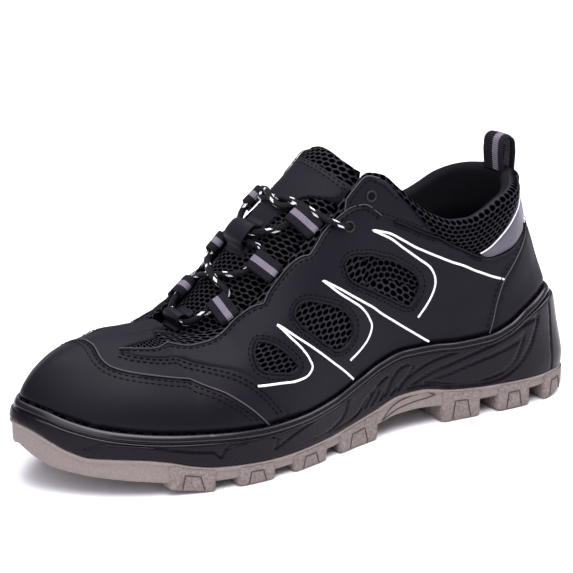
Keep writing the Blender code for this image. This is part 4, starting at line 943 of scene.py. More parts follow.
def in_loops(points, loops):
    """Whether flat points are within the first loop and outside the others."""
    count = np.zeros(len(points), int)
    x, y = points[:, 0], points[:, 1]
    for loop in loops:
        for (ax, ay), (bx, by) in zip(loop, np.roll(loop, -1, 0)):
            if ay == by:
                continue
            hit = ((ay > y) != (by > y)) & (x < (bx - ax) * (y - ay) / (by - ay) + ax)
            count += hit
    return count % 2 == 1


def drawn(table, closed=True, spacing=0.0011, side=1):
    """A table of round and up as a smooth line with even steps on the upper."""
    line = smoothed(table, 14, closed)
    if side < 0:
        line = line * (-1, 1)
    spot = place(line[:, 0], line[:, 1])[0]
    found = even(np.concatenate([spot, line], 1), spacing, closed)
    return found[:, 3:]


ROLL = 0.0009  # width of a panel's rolled edge


def panel(name, tables, side, material, replaces=(), slot=None, lift=OVERLAY, pitch=0.0024):
    """A panel over the upper with a rolled edge. The first table is its border, others holes."""
    loops = [drawn(table, True, 0.0011, side) for table in tables]
    flat = [metric(loop) for loop in loops]
    border = np.concatenate([place(loop[:, 0], loop[:, 1])[0] for loop in loops])
    tree = KDTree(len(border))
    for number, spot in enumerate(border):
        tree.insert(spot, number)
    tree.balance()
    low, high = flat[0].min(0), flat[0].max(0)
    xs = np.arange(low[0], high[0], pitch)
    ys = np.arange(low[1], high[1], pitch)
    gx, gy = np.meshgrid(xs, ys, indexing="ij")
    gx[:, 1::2] += pitch / 2
    inner = np.stack([gx.ravel(), gy.ravel()], 1)
    inner = inner[in_loops(inner, flat)]
    extra = []
    for number, loop in enumerate(loops):
        way = 1 if area_of(loop) > 0 else -1
        way = -way if number else way
        for distance in (0.0004, ROLL):
            moved = shifted_line(loop, distance, True, way)
            if len(moved):
                extra.append(metric(moved))
    extra = np.concatenate(extra)
    extra = extra[in_loops(extra, flat)]
    spots = place(*(inner / FLAT_SIZE).T)[0]
    far = np.array([tree.find(s)[2] for s in spots]) > 0.0016
    every = np.concatenate([np.concatenate(flat), extra, inner[far]])
    edges, start = [], 0
    for loop in flat:
        edges += [(start + k, start + (k + 1) % len(loop)) for k in range(len(loop))]
        start += len(loop)
    found, _, triangles, *_ = delaunay_2d_cdt([Vector(p) for p in every], edges, [], 0, 1e-7)
    found = np.array([tuple(p) for p in found])
    triangles = np.array(triangles)
    middle = found[triangles].mean(1)
    triangles = triangles[in_loops(middle, flat)]
    used, triangles = np.unique(triangles, return_inverse=True)
    triangles = triangles.reshape(-1, 3)
    found = found[used]
    round_, up = (found / FLAT_SIZE).T
    ground, normal = place(round_, up)
    reach = np.array([tree.find(s)[2] for s in ground])
    rise = np.clip(reach / ROLL, 0, 1)
    height = lift * (0.45 + 0.55 * np.sqrt(1 - (1 - rise) ** 2))
    top = ground + normal * height[:, None]
    tri = top[triangles]
    turned = np.cross(tri[:, 1] - tri[:, 0], tri[:, 2] - tri[:, 0])
    facing = (turned * normal[triangles[:, 0]]).sum(1)
    triangles[facing < 0] = triangles[facing < 0][:, ::-1]
    count = len(top)
    points = np.concatenate([top, ground - normal * 0.0003])
    faces = triangles.tolist()
    pairs = {(t[k], t[(k + 1) % 3]) for t in faces for k in range(3)}
    for a, b in sorted(pairs):
        if (b, a) not in pairs:
            faces.append([b, a, count + a, count + b])
    uv = np.tile(found, (2, 1))
    return make_mesh(name, points, faces, material, replaces, slot, uv)


def tube(path, radius, sides, flat=1.0, normals=None):
    """Points, faces and u, v of a tube along a path."""
    path = np.asarray(path, float)
    ahead = np.gradient(path, axis=0)
    ahead /= np.maximum(np.linalg.norm(ahead, axis=1), 1e-12)[:, None]
    ups = []
    up = np.array([0.0, 0.0, 1.0])
    for k, tangent in enumerate(ahead):
        if normals is not None:
            up = normals[k]
        up = up - tangent * np.dot(up, tangent)
        up = up / (np.linalg.norm(up) + 1e-12)
        ups.append(up)
    ups = np.array(ups)
    across = np.cross(ahead, ups)
    angle = np.linspace(0, 2 * math.pi, sides + 1)
    radius = np.broadcast_to(radius, len(path))[:, None, None]
    level_part = across[:, None] * np.cos(angle)[None, :, None]
    ring = level_part + ups[:, None] * np.sin(angle)[None, :, None] * flat
    points = path[:, None] + ring * radius
    travel = np.concatenate([[0], np.cumsum(np.linalg.norm(np.diff(path, axis=0), axis=1))])
    uv = np.stack(np.broadcast_arrays(angle[None, :] / (2 * math.pi), travel[:, None]), 2)
    return points, grid_faces(len(path), sides + 1), uv


class Heap:
    """Many small meshes joined as one."""

    def __init__(self):
        self.points, self.faces, self.uv, self.count = [], [], [], 0

    def add(self, points, faces, uv=None):
        points = np.asarray(points, float).reshape(-1, 3)
        self.points.append(points)
        self.faces += [[self.count + k for k in face] for face in faces]
        self.uv.append(np.zeros((len(points), 2)) if uv is None else np.asarray(uv).reshape(-1, 2))
        self.count += len(points)

    def make(self, name, material, **more):
        uv = np.concatenate(self.uv)
        return make_mesh(name, np.concatenate(self.points), self.faces, material, uv=uv, **more)


STITCHES = Heap()
# A stitch's length and radius along it, as shares
CAPSULE = np.array([(x, math.sin(math.acos(abs(x)))) for x in (-1.0, -0.72, 0.0, 0.72, 1.0)])
INWARD = 1  # the way of a row within an open border
STITCH_LIFT = 0.00008
RIM_CLEARANCE = 0.045  # of up, free of stitches over the sole's rim


def stitch(line, normals, length=0.0021, pitch=0.0030, radius=0.00030):
    """A row of stitches along a line of points."""
    line = np.asarray(line, float)
    if len(line) < 4:
        return
    both = even(np.concatenate([line, normals], 1), pitch)
    for here, ahead in zip(both[:-1], both[1:]):
        span = np.linalg.norm(ahead[:3] - here[:3])
        if span > pitch * 1.6 or span < pitch * 0.4:
            continue
        middle = (here[:3] + ahead[:3]) / 2
        way = (ahead[:3] - here[:3]) / span
        up = here[3:6] - way * np.dot(here[3:6], way)
        up /= np.linalg.norm(up)
        side = np.cross(way, up)
        points = []
        for x, r in CAPSULE:
            for k in range(5):
                angle = 2 * math.pi * k / 5
                spoke = side * math.cos(angle) * 1.15 + up * math.sin(angle)
                points.append(middle + way * x * length / 2 + spoke * radius * max(r, 0.25))
        STITCHES.add(points, grid_faces(5, 5, False, True))


def stitch_along(table, distance, closed, side=1, way=1, lift=OVERLAY):
    """A stitch row beside an edge, left out at the rim."""
    line = drawn(table, closed, 0.0012, side)
    sense = way * side if not closed else (1 if area_of(line) > 0 else -1) * way
    moved = shifted_line(line, distance, closed, sense)
    if not len(moved):
        return
    spots, normals = place(moved[:, 0], moved[:, 1], lift + STITCH_LIFT)
    keep = moved[:, 1] > RIM_CLEARANCE
    jumps = np.linalg.norm(np.diff(spots, axis=0, prepend=spots[:1]), axis=1)
    cut = np.flatnonzero(~keep | (jumps > 0.004))
    start = 0
    for stop in [*cut, len(moved)]:
        if stop - start > 3:
            stitch(spots[start:stop], normals[start:stop])
        start = stop + 1 if stop < len(moved) and not keep[stop] else stop


def cord_on(heap, line, radius, lift, flat=1.0, sides=8, spacing=0.0012):
    """A fine raised line over the upper."""
    spots, normals = place(line[:, 0], line[:, 1], lift)
    both = even(np.concatenate([spots, normals], 1), spacing)
    points, faces, uv = tube(both[:, :3], radius, sides, flat, both[:, 3:6])
    heap.add(points, faces, uv)


# Upper


def make_shell():
    """The knitted base with its padded collar, and the lining inside it."""
    turn = WALL * 0.5 * EDGE_TURN[None, :]
    turn[CLOSED] = 0
    outer = SURFACE - NORMALS * turn[..., None]
    inner = GRID - NORMALS * (WALL - turn)[..., None]
    n, m = N_RIBS, N_ROWS
    around = np.arange(n + 1)
    joined = around % n
    u = around[:, None] / SIDE_STATIONS * FLAT_SIZE[0] + ROWS[None, :] * 0
    v = np.broadcast_to(ROWS[None, :] * 0.105, u.shape)
    uv = np.stack([u, v], 2).reshape(-1, 2)
    first = outer[joined]
    faces = [f[::-1] for f in grid_faces(n + 1, m)]
    at = LOOP[joined, 0] / LENGTH
    shell = make_mesh("upper_knit", first.reshape(-1, 3), faces, MESH, ("upper",), "upper_mesh", uv)
    shell.data.materials.append(COLLAR_MESH)
    rear = np.repeat(at[:-1] < 0.42, m - 1)
    high = np.tile(ROWS[:-1] > 0.5, n)
    shell.data.polygons.foreach_set("material_index", (rear & high).astype(int))
    outwards_like(shell, NORMALS[joined].reshape(-1, 3))
    second = inner[joined]
    faces = grid_faces(n + 1, m)
    lining = make_mesh("upper_lining", second.reshape(-1, 3), faces, LINING, (), "upper_mesh", uv)
    outwards_like(lining, -NORMALS[joined].reshape(-1, 3))


def outwards_like(made, normals):
    """Turns all faces over if most of them look against the given normals."""
    mesh = made.data
    total = 0.0
    for polygon in list(mesh.polygons)[:: max(len(mesh.polygons) // 200, 1)]:
        total += float(np.dot(np.array(polygon.normal), normals[polygon.vertices[0]]))
    if total < 0:
        mesh.flip_normals()


def mirrored(half):
    """A table that ends on the middle line, with its other side."""
    centre = round(half[-1][0])
    return (*half, *[(2 * centre - r, up) for r, up in half[-2::-1]])


CAP_SKIN = mirrored((
    (0.632, 0.000), (0.646, 0.100), (0.659, 0.185), (0.675, 0.272), (0.693, 0.350), (0.715, 0.390),
    (0.744, 0.409), (0.778, 0.423), (0.812, 0.431), (0.850, 0.441), (0.876, 0.458), (0.900, 0.497),
    (0.928, 0.553), (0.962, 0.598), (1.000, 0.612),
))
COUNTER_SKIN = mirrored((
    (0.238, 0.000), (0.232, 0.100), (0.224, 0.262), (0.210, 0.390), (0.189, 0.462), (0.166, 0.505),
    (0.142, 0.535), (0.080, 0.560), (0.000, 0.572),
))
REFLECTOR_TOP = ((0.254, 0.738), (0.232, 0.745), (0.210, 0.778), (0.188, 0.836), (0.162, 0.885),
                 (0.130, 0.906), (0.070, 0.918), (0.000, 0.922))
REFLECTOR_LOW = ((0.244, 0.680), (0.218, 0.624), (0.190, 0.600), (0.150, 0.597), (0.080, 0.606),
                 (0.000, 0.612))
QUARTER_REAR = ((0.230, 0.000), (0.224, 0.100), (0.216, 0.262), (0.202, 0.380), (0.182, 0.450),
                (0.160, 0.492), (0.140, 0.520), (0.140, 0.572), (0.176, 0.572), (0.204, 0.590),
                (0.230, 0.632))
QUARTER_TOP = ((0.249, 0.690), (0.266, 0.752), (0.298, 0.848), (0.320, 0.884), (0.345, 0.868),
               (0.365, 0.845), (0.390, 0.812))
QUARTER_EDGE = (  # from the tab, down the scalloped eyestay, to the tip beside the mesh window
    (0.410, 0.822), (0.420, 0.852), (0.431, 0.892), (0.443, 0.935), (0.457, 0.975), (0.477, 1.000),
    (0.500, 1.000), (0.511, 0.976), (0.524, 0.953), (0.535, 0.984), (0.546, 1.000), (0.574, 1.000),
    (0.588, 0.984), (0.600, 0.940), (0.613, 0.984), (0.624, 1.000), (0.638, 1.000), (0.652, 0.968),
    (0.668, 0.916), (0.684, 0.880), (0.704, 0.822), (0.731, 0.752), (0.764, 0.706), (0.820, 0.680),
    (0.866, 0.660), (0.882, 0.646),
)
QUARTER_LOW = (
    (0.868, 0.620), (0.846, 0.605), (0.816, 0.598), (0.762, 0.592), (0.726, 0.598), (0.700, 0.596),
    (0.680, 0.566), (0.664, 0.515), (0.648, 0.427), (0.632, 0.305), (0.616, 0.175), (0.597, 0.000),
)
QUARTER_SKIN = (*QUARTER_REAR, *QUARTER_TOP, *QUARTER_EDGE, *QUARTER_LOW)
TAB_SKIN = (
    (0.464, 0.990), (0.460, 1.042), (0.438, 1.045), (0.410, 1.030), (0.384, 1.002), (0.358, 0.985),
    (0.342, 0.950), (0.326, 0.902), (0.338, 0.878), (0.362, 0.850), (0.388, 0.806), (0.410, 0.806),
    (0.428, 0.850), (0.446, 0.920), (0.458, 0.965),
)
WINDOWS_SKIN = (
    ((0.472, 0.710), (0.466, 0.722), (0.456, 0.697), (0.440, 0.640), (0.417, 0.582), (0.392, 0.556),
     (0.374, 0.542), (0.360, 0.520), (0.354, 0.470), (0.358, 0.375), (0.368, 0.294), (0.383, 0.306),
     (0.404, 0.354), (0.426, 0.416), (0.449, 0.516), (0.468, 0.630)),
    ((0.563, 0.700), (0.557, 0.722), (0.546, 0.716), (0.537, 0.690), (0.522, 0.636), (0.506, 0.578),
     (0.486, 0.490), (0.473, 0.400), (0.467, 0.330), (0.469, 0.274), (0.482, 0.258), (0.495, 0.272),
     (0.517, 0.362), (0.542, 0.500), (0.560, 0.630)),
    ((0.624, 0.702), (0.615, 0.662), (0.604, 0.597), (0.592, 0.508), (0.580, 0.412), (0.574, 0.356),
     (0.582, 0.343), (0.603, 0.384), (0.622, 0.436), (0.632, 0.492), (0.634, 0.565), (0.631, 0.650)),
)
STRIP_SIDE = (  # the leather behind the toe cap, from the rim round the mesh window to the ridge
    (0.585, 0.000), (0.604, 0.175), (0.620, 0.310), (0.636, 0.440), (0.652, 0.530), (0.670, 0.590),
    (0.700, 0.622), (0.762, 0.620), (0.816, 0.622), (0.846, 0.628), (0.866, 0.645), (0.878, 0.662),
    (0.852, 0.722), (0.802, 0.795), (0.742, 0.862), (0.712, 1.000),
)
STRIP_FRONT = mirrored((  # under the toe cap
    (0.652, 0.000), (0.680, 0.185), (0.714, 0.330), (0.745, 0.385), (0.812, 0.405), (0.876, 0.430),
    (0.928, 0.520), (1.000, 0.585),
))
STRIP = (*STRIP_SIDE, *[(2 - r, up) for r, up in STRIP_SIDE[::-1]], *STRIP_FRONT[::-1])

COUNTER_LIFT = OVERLAY + 0.0005
TAB_LIFT = OVERLAY * 0.8


def make_panels():
    """The leather and cloth overlays, one for each overlay of the solid shoe."""
    panel("vamp_strip", [STRIP], 1, LEATHER, (), "panel_leather", lift=0.0007)
    panel("toe_cap_skin", [CAP_SKIN], 1, CAP_LEATHER, ("toe_cap",), "panel_leather")
    replaced = ("heel_counter",)
    panel("counter_skin", [COUNTER_SKIN], 1, LEATHER, replaced, "panel_leather", lift=COUNTER_LIFT)
    top = [(-r, up) for r, up in REFLECTOR_TOP[:-1]] + list(REFLECTOR_TOP[::-1])
    low = list(REFLECTOR_LOW) + [(-r, up) for r, up in REFLECTOR_LOW[-2::-1]]
    table = (*top, *low)
    replaced = ("reflective_heel",)
    panel("heel_reflector", [table], 1, REFLECTIVE_CLOTH, replaced, "reflective_cloth", pitch=0.003)
    for side, word in ((1, "outer"), (-1, "inner")):
        tables = [QUARTER_SKIN, *WINDOWS_SKIN]
        replaced = (f"quarter_{word}",)
        panel(f"quarter_skin_{word}", tables, side, LEATHER, replaced, "panel_leather")
        replaced = (f"eyestay_tab_{word}",)
        panel(f"tab_skin_{word}", [TAB_SKIN], side, LEATHER, replaced, "panel_leather", lift=TAB_LIFT)


def make_trim():
    """Stitch rows, cut edges and the raised borders of the windows."""
    edges = Heap()
    rolls = Heap()
    bright = Heap()
    for distance in (0.0022, 0.0044):
        stitch_along(CAP_SKIN, distance, False, 1, INWARD)
    cord_on(edges, drawn(CAP_SKIN, False), 0.00034, OVERLAY * 0.75)
    stitch_along(COUNTER_SKIN, 0.0024, False, 1, INWARD, COUNTER_LIFT)
    cord_on(edges, drawn(COUNTER_SKIN, False), 0.00030, OVERLAY * 1.1)
    for side in (1, -1):
        cord_on(bright, drawn(REFLECTOR_TOP, False, side=side), 0.00030, OVERLAY)
        for distance in (0.0014, 0.0036):
            stitch_along(QUARTER_LOW, distance, False, side, -1, lift=0.0009)
        stitch_along(QUARTER_EDGE, 0.0021, False, side, INWARD)
        stitch_along(QUARTER_TOP, 0.0021, False, side, INWARD)
        cord_on(edges, drawn(QUARTER_EDGE, False, side=side), 0.00027, OVERLAY * 0.8)
        cord_on(edges, drawn(TAB_SKIN[:4], False, side=side), 0.00027, 0.0011)
        cord_on(rolls, drawn(QUARTER_TOP, False, side=side), 0.00045, OVERLAY * 0.8)
        stitch_along(TAB_SKIN, 0.0022, True, side, -INWARD, TAB_LIFT)
        for table in WINDOWS_SKIN:
            line = drawn(table, True, side=side)
            sense = 1 if area_of(line) > 0 else -1
            ring = shifted_line(line, 0.0006, True, sense)
            cord_on(rolls, np.concatenate([ring, ring[:2]]), 0.00050, OVERLAY * 0.95, 0.7)
            row = shifted_line(line, 0.0032, True, sense)
            spots, normals = place(row[:, 0], row[:, 1], OVERLAY + STITCH_LIFT)
            both = np.concatenate([spots, normals], 1)
            both = np.concatenate([both, both[:1]])
            stitch(both[:, :3], both[:, 3:], 0.0018, 0.0027)
    edges.make("cut_edges", EDGE)
    bright.make("reflector_edge", WHITE)
    rolls.make("window_borders", LEATHER)
    STITCHES.make("stitching", THREAD)


STRIPES = (  # each: up one leg to the tip and down the other, as round and up
    ((0.470, 0.020), (0.490, 0.130), (0.518, 0.270), (0.546, 0.415), (0.572, 0.570), (0.594, 0.735),
     (0.579, 0.580), (0.563, 0.447), (0.553, 0.345), (0.550, 0.285), (0.558, 0.256), (0.576, 0.260),
     (0.610, 0.310), (0.642, 0.355)),
    ((0.338, 0.020), (0.360, 0.095), (0.388, 0.175), (0.420, 0.285), (0.455, 0.450), (0.486, 0.615),
     (0.513, 0.755), (0.490, 0.608), (0.468, 0.485), (0.448, 0.370), (0.438, 0.290), (0.434, 0.225),
     (0.442, 0.180), (0.456, 0.160), (0.476, 0.150)),
    ((0.212, 0.392), (0.242, 0.520), (0.260, 0.592), (0.296, 0.696), (0.330, 0.730), (0.370, 0.722),
     (0.402, 0.724), (0.426, 0.744), (0.405, 0.704), (0.382, 0.676), (0.354, 0.652), (0.337, 0.625),
     (0.330, 0.575), (0.328, 0.510), (0.332, 0.420), (0.342, 0.315), (0.356, 0.215)),
)


def make_stripes():
    """The white reflective piping lines, raised tapes with rounded tops."""
    heap = Heap()
    for side in (1, -1):
        for table in STRIPES:
            line = drawn(table, False, 0.0010, side)
            spots, normals = place(line[:, 0], line[:, 1], OVERLAY + 0.00005)
            both = even(np.concatenate([spots, normals], 1), 0.0010)
            points, faces, uv = tube(both[:, :3], 0.00056, 10, 0.55, both[:, 3:6])
            heap.add(points, faces, uv)
    heap.make("reflective_piping", WHITE)


# Sole


def smooth_rings(rings, times):
    """Rings between the rings, on smooth curves."""
    stack = np.array(rings)
    n = len(stack)
    found = []
    for i in range(n - 1):
        a, b, c, d = stack[max(i - 1, 0)], stack[i], stack[i + 1], stack[min(i + 2, n - 1)]
        for t in np.linspace(0, 1, times, endpoint=False):
            m0, m1 = (c - a) / 2, (d - b) / 2
            gap = np.linalg.norm(c - b, axis=1, keepdims=True)
            for m in (m0, m1):
                size = np.linalg.norm(m, axis=1, keepdims=True)
                m *= np.minimum(1, gap * 1.2 / np.maximum(size, 1e-12))
            found.append(
                b * (1 + 2 * t) * (1 - t) ** 2 + m0 * t * (1 - t) ** 2
                + c * t * t * (3 - 2 * t) + m1 * t * t * (t - 1)
            )
    found.append(stack[-1])
    return np.array(found)


def near_line(x, y, line, width):
    """1 on a polyline and 0 further than width from it."""
    best = np.full(np.shape(x), 1e9)
    line = np.asarray(line, float)
    for (ax, ay), (bx, by) in zip(line[:-1], line[1:]):
        dx, dy = bx - ax, by - ay
        t = np.clip(((x - ax) * dx + (y - ay) * dy) / (dx * dx + dy * dy), 0, 1)
        best = np.minimum(best, np.hypot(x - ax - t * dx, y - ay - t * dy))
    return np.clip(1 - best / width, 0, 1)


# Lines cut into the midsole's side: shares of LENGTH, and of the way from the split to the rim
GROOVES = (
    ((0.925, 0.30), (0.905, 0.52), (0.880, 0.56), (0.800, 0.50), (0.745, 0.50), (0.735, 0.30),
     (0.728, 0.52), (0.690, 0.66), (0.650, 0.74), (0.634, 0.60), (0.640, 0.30), (0.620, 0.46),
     (0.560, 0.72), (0.505, 0.86), (0.478, 0.74), (0.492, 0.40), (0.520, 0.22), (0.560, 0.16)),
    ((0.560, 0.16), (0.500, 0.14), (0.460, 0.20), (0.440, 0.42), (0.420, 0.50), (0.412, 0.40),
     (0.430, 0.20)),
    ((0.445, 0.24), (0.405, 0.60), (0.392, 0.62), (0.385, 0.52), (0.410, 0.18)),
    ((0.400, 0.20), (0.365, 0.66), (0.350, 0.68), (0.343, 0.58), (0.372, 0.14)),
    ((0.388, 0.12), (0.325, 0.56), (0.250, 0.84), (0.200, 0.90)),
    ((0.355, 0.10), (0.300, 0.44), (0.230, 0.72), (0.120, 0.84), (0.090, 0.80), (0.110, 0.50),
     (0.160, 0.14), (0.250, 0.07), (0.355, 0.10)),
    ((0.320, 0.16), (0.250, 0.46), (0.180, 0.62), (0.125, 0.66), (0.150, 0.30), (0.190, 0.16),
     (0.320, 0.16)),
    ((0.060, 0.02), (0.058, 0.30), (0.052, 0.70), (0.050, 0.96)),
)


GROOVE_FIELD = 0.026  # height that the lines above are drawn at
RING_STEPS = 9


def flat_curve(line, height, corner=0.55):
    """A line in shares of LENGTH and of a height, rounded, in metres."""
    table = [(x * LENGTH / FLAT_SIZE[0], y * height / FLAT_SIZE[1]) for x, y in line]
    return smoothed(table, 6, False, corner) * FLAT_SIZE


def make_midsole_skin():
    """The black cup: side, rolled rim and the wall that runs down inside it."""
    loop = outline_loop(520)
    split = level(TREAD, 1, loop, SPLIT_HEIGHT) + GAP
    tray = level(TREAD, 2, loop, SPLIT_HEIGHT) + GAP
    bed = level(LEVELS, 1, loop, BACK_HEIGHT)
    rim = level(LEVELS, 2, loop, BACK_HEIGHT)
    wall = upper_at_height(loop, rim, CUP_GAP)
    away = wall[:, :2] - spine(loop)
    away /= np.linalg.norm(away, axis=1)[:, None]
    side = moved_in(loop, SIDE_INSET)
    bead = wall[:, :2] + away * RIM_WALL * 1.15
    bead_low = bead * 0.72 + side * 0.28
    under = [
        ring_points(moved_in(loop, TRAY_WALL + GAP), tray),
        ring_points(moved_in(loop, TRAY_WALL), split),
        ring_points(moved_in(loop, SIDE_INSET + 0.0010), split),
    ]
    sides = [
        ring_points(moved_in(loop, SIDE_INSET + 0.0007), split),
        ring_points(moved_in(loop, SIDE_INSET + 0.0001), split + 0.0006),
        ring_points(side, split + (rim - split) * 0.18),
        ring_points(side * 0.62 + bead * 0.38, split + (rim - split) * 0.55),
        ring_points(bead_low, rim - 0.0046),
        ring_points(bead - away * 0.0008, rim - 0.0038),
        ring_points(bead + away * 0.0002, rim - 0.0026),
        ring_points(bead - away * 0.0004, rim - 0.0010),
        ring_points(wall[:, :2] + away * RIM_WALL * 0.62, rim - 0.0001),
        ring_points(wall[:, :2] + away * RIM_WALL * 0.20, rim - 0.0003),
    ]
    fine = smooth_rings(sides, RING_STEPS)
    inner = [
        ring_points(upper_at_height(loop, rim - 0.0040, CUP_GAP)[:, :2], rim - 0.0040),
        ring_points(upper_at_height(loop, bed + 0.002, CUP_GAP)[:, :2], bed + 0.002),
    ]
    stack = np.concatenate([np.array(under), fine, np.array(inner)])
    at = np.broadcast_to(loop[:, 0] / LENGTH, stack.shape[:2])
    share = (stack[:, :, 2] - split) / (rim - split)
    flat_x, flat_y = at * LENGTH, share * GROOVE_FIELD
    cut = np.zeros_like(at)
    for line in GROOVES:
        cut = np.maximum(cut, near_line(flat_x, flat_y, flat_curve(line, GROOVE_FIELD), 0.00085))
    on_side = np.zeros(len(stack))
    on_side[5 : len(under) + RING_STEPS * 4] = 1
    out = loop - moved_in(loop, 0.001)
    out /= np.linalg.norm(out, axis=1)[:, None]
    depth = cut**0.6 * on_side[:, None] * 0.0009
    stack[:, :, :2] -= out[None] * depth[..., None]
    points = stack.reshape(-1, 3)
    faces = grid_faces(len(stack), len(loop), False, True)
    made = make_mesh("midsole_skin", points, faces, FOAM, ("midsole",), "midsole_foam")
    made.data.materials.append(POLISHED_FOAM)
    lip = range(len(under) + RING_STEPS * 4, len(under) + RING_STEPS * 8)
    slots = [int(n // len(loop) in lip) for n in range(len(faces))]
    made.data.polygons.foreach_set("material_index", slots)
    outwards(made)


def make_outsole_skin():
    """The grey tray with its plain underside, and the blocks on it, with dark tubes as painted shade for
    the grooves.
    """
    loop = LOOP
    split = level(TREAD, 1, loop, SPLIT_HEIGHT)
    tray = level(TREAD, 2, loop, SPLIT_HEIGHT)
    plate = level(TREAD, 3, loop, SPLIT_HEIGHT)
    recess = SIDE_INSET + LUG_PROUD
    profile = (  # in from the outline, height
        (SIDE_INSET + 0.0016, plate),
        (recess + 0.0002, plate + 0.0007),
        (recess, plate + (split - plate) * 0.30),
        (recess, split - 0.0022),
        (SIDE_INSET + 0.0002, split - 0.0016),
        (SIDE_INSET + 0.0001, split - 0.0004),
        (SIDE_INSET + 0.0008, split),
        (TRAY_WALL - GAP, split),
        (TRAY_WALL, tray),
    )
    fine = smooth_rings([ring_points(moved_in(loop, inset), z) for inset, z in profile], 4)
    n = len(loop)
    faces = grid_faces(len(fine), n, False, True)
    points = [fine.reshape(-1, 3)]
    count = len(points[0])
    bottom = []
    for k in range(1, 40):
        share = k / 40
        ring = fine[0].copy()
        ring[:, :2] = ring[:, :2] * (1 - share) + spine(loop) * share
        bottom.append(ring)
    bottom = np.concatenate([[fine[0]], np.array(bottom)])
    points.append(bottom.reshape(-1, 3))
    faces += [[count + k for k in f][::-1] for f in grid_faces(len(bottom), n, False, True)]
    points = np.concatenate(points)
    make_mesh("outsole_tray", points, faces, SMOOTH_RUBBER, ("outsole",), "outsole_rubber")
    blocks = Heap()
    # Dark tubes: painted shade standing in for the grooves.
    insets = Heap()
    for rear, front in EDGE_LUGS:
        for side in (1, -1):
            add_edge_block(blocks, insets, rear, front, side)
    for side in (1, -1):
        add_arch_groove_shade(insets, side)
    for rear, front, half_width in MIDDLE_LUGS:
        add_middle_block(blocks, rear, front, half_width)
    outwards(blocks.make("tread_blocks", TREAD_RUBBER, slot="outsole_rubber"))
    outwards(insets.make("tread_groove_shade", GROOVE_SHADE, slot="outsole_rubber"))


def rounded_block(heap, outer, inner, low, high, lean):
    """A block with softened edges between two rows of points."""
    edge = smoothed_corners(np.concatenate([outer, inner[::-1]]))
    edge = even(np.column_stack([edge, np.zeros(len(edge))]), 0.0022, True)[:, :2]
    middle = edge.mean(0)
    out = edge - middle
    out /= np.linalg.norm(out, axis=1, keepdims=True)
    rings = []
    insets = ((0.0, 0.0013 + lean), (0.04, 0.0004 + lean), (0.16, lean), (0.5, lean * 0.5), (1.0, 0.0))
    for share, inset in insets:
        ring = edge - out * inset
        z = low(ring[:, 0]) * (1 - share) + high(ring[:, 0]) * share
        rings.append(np.column_stack([ring, z]))
    n = len(edge)
    points = np.concatenate([*rings, [np.append(middle, low(middle[:1])[0])]])
    faces = grid_faces(len(rings), n, False, True)
    faces += [[(k + 1) % n, k, len(rings) * n] for k in range(n)]
    heap.add(points, faces)


def smoothed_corners(line):
    """A closed flat line with its corners cut twice."""
    p = np.asarray(line, float)
    for share in (0.16, 0.25):
        q = np.roll(p, -1, 0)
        p = np.stack([p * (1 - share) + q * share, p * share + q * (1 - share)], 1).reshape(-1, 2)
    return p


def low_height(at):
    """The underside of the tread blocks, which rises at the toe and the heel."""
    return smooth(TREAD, 4)(at / LENGTH) * SPLIT_HEIGHT


def add_edge_block(blocks, insets, rear, front, side):
    """A tread block at the sole's edge, with a dark tube on its face: painted shade for a groove."""
    border = outline_sides()[0 if side > 0 else 1]
    x = np.linspace(rear, front, 12) * LENGTH
    edge = np.stack([x, np.interp(x, border[:, 0], border[:, 1])], 1)
    centre = edge.copy()
    centre[:, 1] = 0
    away = edge - centre
    reach = np.minimum(np.linalg.norm(away, axis=1) * 0.62, LUG_REACH)
    away /= np.linalg.norm(away, axis=1)[:, None]
    outer = edge - away * SIDE_INSET * 0.6
    inner = edge - away * reach[:, None]

    def high(at):
        plate = smooth(TREAD, 3)(at / LENGTH) * SPLIT_HEIGHT
        split = smooth(TREAD, 1)(at / LENGTH) * SPLIT_HEIGHT
        return np.maximum(split - 0.0011, plate + 0.0012)

    rounded_block(blocks, outer, inner, low_height, high, 0.0002)
    # a dark tube round a smooth field on the block's side, painted shade for a groove
    middle, width = (rear + front) / 2 * LENGTH, (front - rear) * LENGTH
    corners = [(-0.23, 0.05), (-0.15, 0.66), (0.17, 0.66), (0.23, 0.05)]
    line = []
    for (ax, az), (bx, bz) in zip(corners[:-1], corners[1:]):
        for t in np.linspace(0, 1, 8, endpoint=False):
            line.append((ax + (bx - ax) * t, az + (bz - az) * t))
    line.append(corners[-1])
    line = np.array(line)
    xs = middle + line[:, 0] * width
    lows, tops = low_height(xs), high(xs)
    z = lows + (tops - lows) * line[:, 1] + 0.0004
    inset = SIDE_INSET * 0.6 + 0.0002 * (1 - line[:, 1])
    y = np.interp(xs, border[:, 0], border[:, 1]) - side * inset
    path = np.column_stack([xs, y, z])
    points, faces, uv = tube(path, 0.00036, 6)
    insets.add(points, faces, uv)


def add_arch_groove_shade(heap, side):
    """The long leaf on the side of the plate at the arch: a dark tube, painted shade for a cut groove."""
    border = outline_sides()[0 if side > 0 else 1]
    leaf = [(0.405, 0.12), (0.392, 0.45), (0.370, 0.68), (0.340, 0.80), (0.312, 0.80), (0.298, 0.68),
            (0.315, 0.52), (0.345, 0.42), (0.375, 0.30), (0.405, 0.12)]
    line = flat_curve(leaf, 0.01, 0.2)
    xs, share = line[:, 0], line[:, 1] / 0.01
    plate = smooth(TREAD, 3)(xs / LENGTH) * SPLIT_HEIGHT
    split = smooth(TREAD, 1)(xs / LENGTH) * SPLIT_HEIGHT
    y = np.interp(xs, border[:, 0], border[:, 1]) - side * (SIDE_INSET + LUG_PROUD)
    path = np.column_stack([xs, y, plate + (split - plate) * share])
    points, faces, uv = tube(path, 0.00034, 6)
    heap.add(points, faces, uv)


